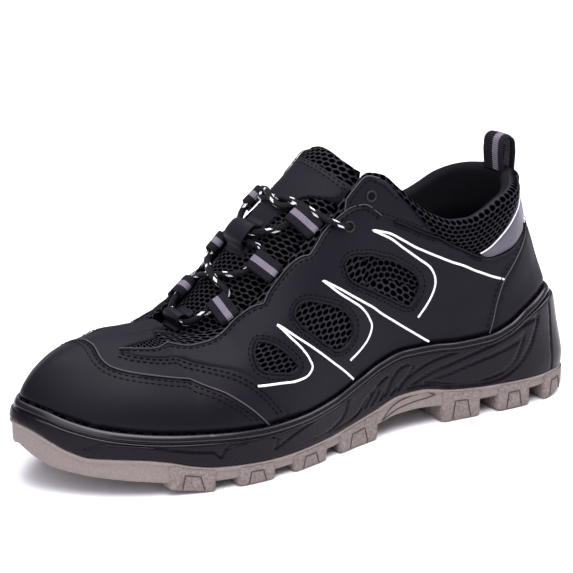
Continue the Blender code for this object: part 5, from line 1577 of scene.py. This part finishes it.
def add_middle_block(blocks, rear, front, half_width):
    """A shallow block under the middle of the foot."""
    x = np.linspace(rear, front, 6) * LENGTH
    outer_side, inner_side = outline_sides()
    high_y = np.interp(x, outer_side[:, 0], outer_side[:, 1])
    low_y = np.interp(x, inner_side[:, 0], inner_side[:, 1])
    middle = (high_y + low_y) / 2 * (0 if front < 0.3 else 1)
    shape = half_width * (1 - 0.3 * np.abs(np.linspace(-1, 1, 6)))
    outer = np.stack([x, middle + shape], 1)
    inner = np.stack([x, middle - shape], 1)

    def high(at):
        return smooth(TREAD, 3)(at / LENGTH) * SPLIT_HEIGHT + 0.0010

    rounded_block(blocks, outer, inner, low_height, high, 0.0002)


def make_footbed():
    """The insole seen inside, a cloth-covered pad."""
    loop = LOOP
    bed = level(LEVELS, 1, loop, BACK_HEIGHT)
    foot = rib_handles(loop)[0]
    around = moved_in(foot, UPPER_WALL + INSOLE_GAP)
    rings = [
        ring_points(around, bed + GAP),
        ring_points(around, bed + INSOLE - 0.0012),
        ring_points(moved_in(around, 0.0012), bed + INSOLE),
    ]
    fine = list(smooth_rings(rings, 3))
    top = rings[-1]
    for share in np.linspace(0.05, 1.0, 20):
        ring = top.copy()
        ring[:, :2] = ring[:, :2] * (1 - share) + spine(loop) * share
        ring[:, 2] -= 0.0006 * math.sin(share * math.pi / 2)
        fine.append(ring)
    stack = np.array(fine)
    faces = grid_faces(len(stack), len(loop), False, True)
    points = stack.reshape(-1, 3)
    made = make_mesh("footbed", points, faces, LINING, ("insole",), "insole_cloth")
    outwards(made)


# Tongue, laces and webbing


def tongue_frame(at):
    """The tongue's middle point, forward direction and normal where it passes a station."""
    rows = np.array(TONGUE)[:, :2] * (LENGTH, BACK_HEIGHT)
    height = smooth([(x, z) for x, z in rows[::-1]], 1)
    x = np.clip(at * LENGTH, rows[-1, 0], rows[0, 0])
    slope = (height(x + 0.0004) - height(x - 0.0004)) / 0.0008
    forward = np.array([1, 0, float(slope)]) / math.hypot(1, slope)
    normal = np.array([-forward[2], 0, forward[0]])
    aside = smooth(RIDGE, 1)(at) + (smooth(RIBS, 1)(at) - smooth(RIBS, 2)(at)) / 2
    middle = np.array([x, float(aside) * BALL_WIDTH, float(height(x))])
    return middle, forward, normal


def tongue_value(at, column):
    """A column of the tongue's table at a station."""
    return float(smooth(sorted(TONGUE), column)(at))


def tongue_top(at, across):
    """The tongue's upper surface: a point and its normal."""
    middle, _, normal = tongue_frame(at)
    half = tongue_value(at, 2) * BALL_WIDTH
    drop = tongue_value(at, 3) * BALL_WIDTH
    share = across / half
    point = middle - normal * drop * share**2
    point[1] += across
    out = normal + np.array([0, 2 * drop * share / half, 0])
    return point, out / np.linalg.norm(out)


def tongue_line(count):
    """Stations evenly along the tongue, from under the vamp to its top edge."""
    rows = np.array(TONGUE)
    fine = np.linspace(0, len(rows) - 1, 300)
    at = np.interp(fine, np.arange(len(rows)), rows[:, 0])
    middles = np.array([tongue_frame(a)[0] for a in at])
    travel = np.concatenate([[0], np.cumsum(np.linalg.norm(np.diff(middles, axis=0), axis=1))])
    return np.interp(np.linspace(0, travel[-1], count), travel, at), travel[-1]


def make_tongue_skin():
    """A padded tongue with a rolled border, netting over most of it."""
    stations_, length = tongue_line(TONGUE_ROWS)
    last = TONGUE_ROWS - 1
    shares = np.sin(np.linspace(-math.pi / 2, math.pi / 2, 45))
    top, bottom, uv = [], [], []
    for row, at in enumerate(stations_):
        half, thick = tongue_value(at, 2) * BALL_WIDTH, tongue_value(at, 4)
        end = min(1, (last - row) / 5)
        for share in shares:
            point, normal = tongue_top(at, share * half)
            roll = 1 - min(1, math.sqrt(max(1 - share**2, 0)) * 1.6)
            roll = min(roll + (1 - math.sqrt(1 - (1 - end) ** 2)) * 0.9, 1)
            pillow = PILLOW * math.cos(share * math.pi / 2) * end
            top.append(point - normal * (thick * 0.5 * roll - pillow))
            bottom.append(point - normal * (thick * (1 - 0.72 * share**4) * (1 - 0.5 * roll)))
            uv.append((share * half, row / last * length))
    count, wide = len(top), len(shares)
    faces = grid_faces(TONGUE_ROWS, wide)
    faces += [[count + k for k in f][::-1] for f in grid_faces(TONGUE_ROWS, wide)]
    border = list(range(wide)) + [r * wide + wide - 1 for r in range(1, TONGUE_ROWS)]
    border += [last * wide + c for c in range(wide - 2, -1, -1)]
    border += [r * wide for r in range(last - 1, 0, -1)]
    for k, a in enumerate(border):
        b = border[(k + 1) % len(border)]
        faces.append([b, a, count + a, count + b])
    points = top + bottom
    made = make_mesh("tongue_pad", points, faces, TONGUE_MESH, ("tongue",), "tongue_cloth", uv + uv)
    outwards(made)
    make_tongue_panel(stations_[::-1], length)


PILLOW = 0.0006  # how far the padding swells
PANEL_WIDTHS = (  # share from the tongue's top edge, half width as a share of the tongue's
    (0.070, 0.975),
    (0.100, 0.985),
    (0.130, 0.975),
    (0.155, 0.840),
    (0.190, 0.580),
    (0.240, 0.420),
    (0.320, 0.350),
    (0.500, 0.320),
)


def make_tongue_panel(stations_, length):
    """The bare leather near the tongue's top. stations_ run down from the top edge."""
    profile = smooth(PANEL_WIDTHS, 1)
    spots = np.linspace(0.070, 0.50, PATCH_ROWS)
    along = [float(np.interp(s, np.linspace(0, 1, TONGUE_ROWS), stations_)) for s in spots]
    ups = np.array([tongue_top(at, 0)[1] for at in along])
    points, uv = [], []
    wide = 25
    for row, (at, s) in enumerate(zip(along, spots)):
        half = tongue_value(at, 2) * BALL_WIDTH
        for share in np.linspace(-1, 1, wide):
            across = share * half * float(profile(s))
            point, normal = tongue_top(at, across)
            rim = 0 if row in (0, PATCH_ROWS - 1) or abs(share) > 0.99 else 1
            pillow = PILLOW * math.cos(across / half * math.pi / 2)
            points.append(point + normal * (pillow + 0.0009 * rim - 0.0006 * (1 - rim)))
            uv.append((across, s * length))
    faces = [f[::-1] for f in grid_faces(PATCH_ROWS, wide)]
    made = make_mesh("tongue_panel", points, faces, LEATHER, (), "tongue_cloth", uv)
    outwards_like(made, np.repeat(ups, wide, 0))
    grid = np.array(points).reshape(PATCH_ROWS, wide, 3)
    for column in (1, wide - 2):
        stitch(grid[1:-1, column], ups[1:-1], 0.0018, 0.0028)
    for row in (1, 2):
        line = grid[row, 1:-1]
        stitch(line, np.repeat([tongue_top(0.455, 0)[1]], len(line), 0), 0.0018, 0.0028)


def edge_point(at, side):
    """The throat's edge at a station, and a point a little way down the upper from it."""
    half = N_RIBS // 2
    order = np.arange(half + 1) if side > 0 else (N_RIBS - np.arange(half + 1)) % N_RIBS
    x = LOOP[order, 0] / LENGTH
    turn = WALL * 0.5 * EDGE_TURN[None, :]
    outer = GRID - NORMALS * turn[..., None]
    below_row = int(np.interp(0.796, ROWS, np.arange(N_ROWS)))

    def read(grid, row):
        return np.array([np.interp(at, x, grid[order, row, axis]) for axis in range(3)])

    return read(outer, -1), read(outer, below_row), read(NORMALS, SIDE_ROWS - 1)


def loop_frame(at, side):
    """Where a webbing loop sits: its origin on the upper and its three axes."""
    edge, below, normal = edge_point(at - 0.012, side)
    ahead, _, _ = edge_point(at + 0.003, side)
    behind, _, _ = edge_point(at - 0.027, side)
    along = (behind - ahead) / np.linalg.norm(behind - ahead)
    ridge = smooth(RIDGE, 1)(at) * BALL_WIDTH
    inside, _ = tongue_top(at, edge[1] - ridge - side * 0.009)
    start = edge + (below - edge) * (0.0020 / np.linalg.norm(below - edge))
    across = inside - start
    across -= along * np.dot(across, along)
    across /= np.linalg.norm(across)
    up = np.cross(along, across)
    if np.dot(up, normal) < 0:
        up = -up
    lift = max(np.dot(edge - start, up), 0) + 0.0010
    return start + up * lift, across, up, along


LOOP_OUTSIDE = (  # across, up
    (0.0000, 0.0000),
    (0.0090, -0.0002),
    (0.0145, 0.0000),
    (0.0172, 0.0014),
    (0.0178, 0.0034),
    (0.0166, 0.0056),
    (0.0140, 0.0064),
    (0.0090, 0.0058),
    (0.0040, 0.0036),
    (0.0000, 0.0022),
)
LOOP_INSIDE = (  # across, up
    (0.0060, 0.0012),
    (0.0095, 0.0010),
    (0.0142, 0.0011),
    (0.0160, 0.0020),
    (0.0166, 0.0034),
    (0.0157, 0.0048),
    (0.0138, 0.0053),
    (0.0095, 0.0047),
    (0.0070, 0.0034),
    (0.0060, 0.0022),
)
LACE_IN_LOOP = (0.0126, 0.0029)  # across, up


def band(heap, outer, inner, closed, edge=0.12):
    """A strap between two surfaces, given as functions of a width share from -1 to 1."""
    widths = [-1 + edge, -0.55, -0.25, 0.25, 0.55, 1 - edge]
    ring, us = [], []
    for w in widths:
        ring.append(outer(w))
        us.append(w)
    for t in (0.15, 0.5, 0.85):
        ring.append(outer(1.0) * (1 - t) + inner(1.0) * t)
        us.append(1.0)
    for w in widths[::-1]:
        ring.append(inner(w))
        us.append(w)
    for t in (0.85, 0.5, 0.15):
        ring.append(outer(-1.0) * (1 - t) + inner(-1.0) * t)
        us.append(-1.0)
    stack = np.stack(ring, 1)
    line = outer(0.0)
    travel = np.concatenate([[0], np.cumsum(np.linalg.norm(np.diff(line, axis=0), axis=1))])
    uv = np.stack(np.broadcast_arrays(np.array(us)[None, :], travel[:, None]), 2)
    rows, columns = stack.shape[:2]
    faces = grid_faces(rows, columns, closed, True)
    if not closed:
        faces.append(list(range(columns))[::-1])
        faces.append([(rows - 1) * columns + k for k in range(columns)])
    heap.add(stack, faces, uv)


def soft_contour(points, times, closed):
    """A flat contour with rounded corners."""
    flat = np.column_stack([np.array(points), np.zeros(len(points))])
    return smoothed(flat, times, closed, 0.2)[:, :2]


def make_loops_skin():
    """The folded webbing loops that hold the lace, three a side."""
    for number, at in enumerate(LOOPS_ALONG, 1):
        for side, word in ((1, "outer"), (-1, "inner")):
            heap = Heap()
            origin, across, up, along = loop_frame(at, side)

            def face(table):
                flat = soft_contour(table, 5, True) * (0.88, 0.9)
                line = origin + flat[:, :1] * across + flat[:, 1:] * up
                return lambda w: line + along * w * LOOP_WIDTH / 2

            band(heap, face(LOOP_OUTSIDE), face(LOOP_INSIDE), True)
            replaced = (f"lace_loop_{word}_{number}",)
            made = heap.make(f"webbing_{word}_{number}", WEBBING, replaces=replaced, slot="webbing")
            outwards(made)


def both_ways(half):
    """Points from the rear end to the middle one, and on to the front."""
    return [(-step, height) for step, height in half[:-1]] + half[::-1]


def make_keepers_skin():
    """The two leather bridges on the tongue, each with a tunnel for the lace."""
    for name, along, half_width, tunnel, reach in KEEPERS:
        tall = 2 * LACE_RADIUS + 0.0026
        top = both_ways([
            (reach, 0.0016),
            (tunnel + 0.0012, 0.0022),
            (tunnel * 0.75, tall + 0.0008),
            (0, tall + 0.0018),
        ])
        under = both_ways([
            (reach, 0.0004),
            (tunnel, 0.0006),
            (tunnel * 0.72, tall - 0.0006),
            (0, tall + 0.0004),
        ])
        forward = tongue_frame(along)[1]

        def surface(contour):
            line = soft_contour(contour, 6, False)

            def value(w):
                found = []
                for step, height in line:
                    wide = half_width * (1 - 0.10 * (step / reach) ** 2)
                    point, normal = tongue_top(along + step * forward[0] / LENGTH, w * wide)
                    found.append(point + normal * height)
                return np.array(found)

            return value

        heap = Heap()
        band(heap, surface(top), surface(under), False, 0.08)
        outwards(heap.make(f"{name}_strap", LEATHER, replaces=(name,), slot="keeper_leather"))


def lace_over_tongue(at, across, lift=0.0):
    """The lace's centre where it lies on the tongue."""
    point, normal = tongue_top(at, across)
    return point + normal * (LACE_RADIUS + 0.0006 + lift)


def lace_in_loop(at, side, shift):
    """The lace's centre inside a webbing loop, shifted along the throat."""
    origin, across, up, along = loop_frame(at, side)
    return origin + across * LACE_IN_LOOP[0] + up * LACE_IN_LOOP[1] + along * shift


def crossing(spot, way, side, lift=0.0):
    """Points over the tongue, forwards for way 1 and rearwards for -1, from a side."""
    centre, spread = spot
    aside = side * BALL_WIDTH * LACE_ASIDE
    return [
        lace_over_tongue(centre - way * spread, aside, 0.0004 + lift * 0.3),
        lace_over_tongue(centre, 0, lift),
        lace_over_tongue(centre + way * spread, -aside, 0.0004 + lift * 0.3),
    ]


def turn(at, side, way):
    """Points through a loop, rearwards for way 1 and forwards for way -1."""
    reach = LOOP_WIDTH / 2 + LACE_RADIUS
    return [lace_in_loop(at, side, way * share * reach) for share in (-1, 0, 1)]


def eyelet_end(side):
    """The lace's way from the top crossing over the eyestay into the top eyelet."""
    found = [lace_over_tongue(0.518, side * 0.012, 0.0014)]
    found += [place(round_ * side, up, lift)[0] for round_, up, lift in EYELET_PATH]
    return found


def make_lace_skin():
    """One lace from top eyelet to top eyelet."""
    low, middle, high = LOOPS_ALONG
    lower, centre, upper = CROSSINGS
    bar = KEEPERS[0][1]
    stops = eyelet_end(1)[::-1] + crossing(upper, 1, 1)
    stops += turn(high, -1, -1) + crossing(centre, 1, -1)
    stops += turn(middle, 1, -1) + crossing(lower, 1, 1)
    stops += turn(low, -1, -1)
    for share in (-1, 0, 1):
        stops.append(lace_over_tongue(bar, share * BALL_WIDTH * LACE_ASIDE, 0.0004))
    stops += turn(low, 1, 1)
    stops += crossing(lower, -1, 1, 0.0024)
    stops += turn(middle, -1, 1) + crossing(centre, -1, -1, 0.0018)
    stops += turn(high, 1, 1) + crossing(upper, -1, 1, 0.0024)
    stops += eyelet_end(-1)
    path = even(smoothed(np.array(stops), 12, False, -2.0), 0.0009)
    weight = np.exp(-0.5 * (np.arange(-9, 10) / 4.6) ** 2)
    weight /= weight.sum()
    long_ = np.concatenate([2 * path[:1] - path[9:0:-1], path, 2 * path[-1:] - path[-2:-11:-1]])
    path = np.stack([np.convolve(long_[:, k], weight, "valid") for k in range(3)], 1)
    points, faces, uv = tube(path, LACE_RADIUS * 1.08, 12, 0.86)
    heap = Heap()
    heap.add(points, faces, uv)
    made = heap.make("lace", LACE, replaces=("laces",), slot="lace_cord")
    outwards(made)


def make_pull_skin():
    """The webbing pull loop over the collar at the back."""
    ribs = (np.arange(-20, 21)[::-1]) % N_RIBS
    outer = SURFACE - NORMALS * (WALL * 0.5 * EDGE_TURN[None, :])[..., None]

    def crest(y):
        line = outer[ribs, -1]
        line = line[np.argsort(line[:, 1])]
        return np.interp(y, line[:, 1], line[:, 0]), np.interp(y, line[:, 1], line[:, 2])

    def surface(face):
        def value(w):
            y = w * PULL_HALF_WIDTH
            crest_x, crest_z = crest(y)
            foot = crest_z - 0.0022
            top = BACK_HEIGHT + PULL_RISE - PULL_STRAP / 2
            side = [(0.42, foot), (0.47, foot + 0.005), (0.50, top - 0.006), (0.34, top - 0.0012)]
            path = [(crest_x - PULL_DEPTH * s, z, 0) for s, z in side] + [(crest_x, top, 0)]
            path += [(crest_x + PULL_DEPTH * s, z, 0) for s, z in side[::-1]]
            path = smoothed(path, 6, False, -2.0)
            ahead = np.gradient(path, axis=0)
            ahead /= np.linalg.norm(ahead, axis=1)[:, None]
            normal = np.stack([-ahead[:, 1], ahead[:, 0]], 1) * PULL_STRAP / 2 * face
            line = path[:, :2] + normal
            return np.column_stack([line[:, 0], np.full(len(line), y), line[:, 1]])

        return value

    heap = Heap()
    band(heap, surface(1), surface(-1), False, 0.06)
    outwards(heap.make("pull_webbing", WEBBING, replaces=("pull_loop",), slot="webbing"))


def make_blade_skin():
    """The band on the vamp's ridge, drawn back to the lower keeper."""
    rows = [(0.735, 0.058), (0.764, 0.062), (0.785, 0.060), (0.805, 0.056), (0.825, 0.052),
            (0.842, 0.048), (0.862, 0.034)]
    width = smooth(rows, 1)
    surface = SURFACE.reshape(-1, 3)
    tree = KDTree(len(surface))
    for number, spot in enumerate(surface):
        tree.insert((spot[0], spot[1], 0), number)
    tree.balance()

    def height(x, y):
        near = tree.find_n((x, y, 0), 6)
        weight = [1 / (d + 1e-5) for _, _, d in near]
        return sum(surface[n][2] * w for (_, n, _), w in zip(near, weight)) / sum(weight)

    points, uv = [], []
    along = np.linspace(0.738, 0.862, 44)
    wide = 19
    rear = 0.759
    for a in along:
        for share in np.linspace(-1, 1, wide):
            on = max(a, rear)
            y = (float(smooth(RIDGE, 1)(on)) + share * float(width(a))) * BALL_WIDTH
            z = height(on * LENGTH, y)
            if a < rear:
                z += (z - height((rear + 0.018) * LENGTH, y)) * (rear - a) / 0.018
            lift = -0.0004
            if abs(share) < 0.95:
                lift = min(0.0015, 0.0015 - 0.0013 * (a - 0.757) / 0.105)
            points.append((a * LENGTH, y, z + lift))
            uv.append((share * 0.007, a * LENGTH))
    faces = [f[::-1] for f in grid_faces(len(along), wide)]
    made = make_mesh("vamp_band", points, faces, LEATHER, ("vamp_blade",), "panel_leather", uv)
    outwards_like(made, np.repeat([[0, 0, 1.0]], len(points), 0))


def make_eyelets():
    """Lace eyelets near the top of each eyestay: a metal rim round a near-black disc, painted shade for the
    punched hole.
    """
    rims, holes = Heap(), Heap()
    for side in (1, -1):
        for round_, up in ((0.460, 0.884), (0.424, 0.928)):
            centre, normal = place(round_ * side, up, OVERLAY)
            ahead = place((round_ + 0.003) * side, up, OVERLAY)[0] - centre
            ahead -= normal * np.dot(ahead, normal)
            ahead /= np.linalg.norm(ahead)
            across = np.cross(normal, ahead)
            angle = np.linspace(0, 2 * math.pi, 25)
            ring = np.cos(angle)[:, None] * ahead + np.sin(angle)[:, None] * across
            path = centre + ring * 0.0024 + normal * 0.0001
            points, faces, uv = tube(path, 0.00045, 8, 0.8, np.repeat([normal], 25, 0))
            rims.add(points, faces, uv)
            # A near-black disc over the eyelet: painted shade standing in for the hole.
            shade_disc = np.concatenate([[centre], centre + ring[:-1] * 0.0023]) + normal * 0.0001
            holes.add(shade_disc, [[0, 1 + k, 1 + (k + 1) % 24] for k in range(24)])
    rims.make("eyelet_rims", METAL)
    holes.make("eyelet_shade_discs", EYELET_HOLE_SHADE)


# Studio


def make_studio():
    """A pale floor and soft lights all round."""
    floor = bpy.data.meshes.new("floor")
    size = 3.0
    corners = [(-size, -size, 0), (size, -size, 0), (size, size, 0), (-size, size, 0)]
    floor.from_pydata(corners, [], [[0, 1, 2, 3]])
    ground = bpy.data.objects.new("floor", floor)
    bpy.context.scene.collection.objects.link(ground)
    ground.location.z = -0.0002
    skin = new_material("studio_floor", (0.93, 0.93, 0.94), 0.75, specular=0.2)[0]
    floor.materials.append(skin)
    world = bpy.data.worlds.new("studio")
    world.use_nodes = True
    sky = world.node_tree
    plain = sky.nodes["Background"]
    plain.inputs[0].default_value = (0.98, 0.93, 1.12, 1)
    plain.inputs[1].default_value = 0.33
    seen = sky.nodes.new("ShaderNodeBackground")
    seen.inputs[0].default_value = (1.0, 1.0, 1.0, 1)
    seen.inputs[1].default_value = 0.985
    rays = sky.nodes.new("ShaderNodeLightPath")
    mixed = sky.nodes.new("ShaderNodeMixShader")
    sky.links.new(rays.outputs["Is Camera Ray"], mixed.inputs[0])
    sky.links.new(plain.outputs[0], mixed.inputs[1])
    sky.links.new(seen.outputs[0], mixed.inputs[2])
    sky.links.new(mixed.outputs[0], sky.nodes["World Output"].inputs[0])
    bpy.context.scene.view_settings.view_transform = "Standard"
    bpy.context.scene.world = world
    for name, location, size, power in (
        ("key", (0.25, 0.45, 1.20), 0.9, 13.0),
        ("fill", (0.95, 0.55, 0.50), 0.6, 2.5),
        ("back", (-0.70, 0.10, 0.75), 0.6, 5.0),
        ("top", (0.10, -0.60, 1.10), 0.8, 6.0),
    ):
        lamp = bpy.data.lights.new(name, "AREA")
        lamp.size = size
        lamp.energy = power
        lamp.color = (0.99, 0.96, 1.05)
        holder = bpy.data.objects.new(name, lamp)
        bpy.context.scene.collection.objects.link(holder)
        holder.location = location
        way = Vector((0.10, 0, 0.05)) - Vector(location)
        holder.rotation_mode = "QUATERNION"
        holder.rotation_quaternion = way.to_track_quat("-Z", "Y")
    sun = bpy.data.lights.new("sky_panel", "SUN")
    sun.angle = math.radians(70)
    sun.energy = 2.0
    holder = bpy.data.objects.new("sky_panel", sun)
    bpy.context.scene.collection.objects.link(holder)
    holder.rotation_euler = (math.radians(-12), math.radians(8), 0)


def make_camera():
    """The photograph's viewpoint, found by fitting the shoe's sizes to it."""
    lens = bpy.data.cameras.new("view")
    lens.sensor_fit = "HORIZONTAL"
    lens.sensor_width = 36.0
    lens.lens = 141.4
    lens.shift_x = -0.0012
    lens.shift_y = 0.0786
    camera = bpy.data.objects.new("view", lens)
    bpy.context.scene.collection.objects.link(camera)
    eye = Vector((0.6321, 0.8999, 0.4021))
    ahead = (Vector((0.1065, 0.0, 0.050)) - eye).normalized()
    right = ahead.cross(Vector((0, 0, 1))).normalized()
    up = right.cross(ahead)
    roll = math.radians(-0.775)
    right_2 = right * math.cos(roll) + up * math.sin(roll)
    up_2 = up * math.cos(roll) - right * math.sin(roll)
    turn_ = Matrix((right_2, up_2, -ahead)).transposed()
    camera.matrix_world = Matrix.Translation(eye) @ turn_.to_4x4()
    bpy.context.scene.camera = camera


make_camera()
make_studio()
make_shell()
make_panels()
make_stripes()
make_midsole_skin()
make_outsole_skin()
make_footbed()
make_tongue_skin()
make_loops_skin()
make_keepers_skin()
make_lace_skin()
make_pull_skin()
make_blade_skin()
make_eyelets()
make_trim()
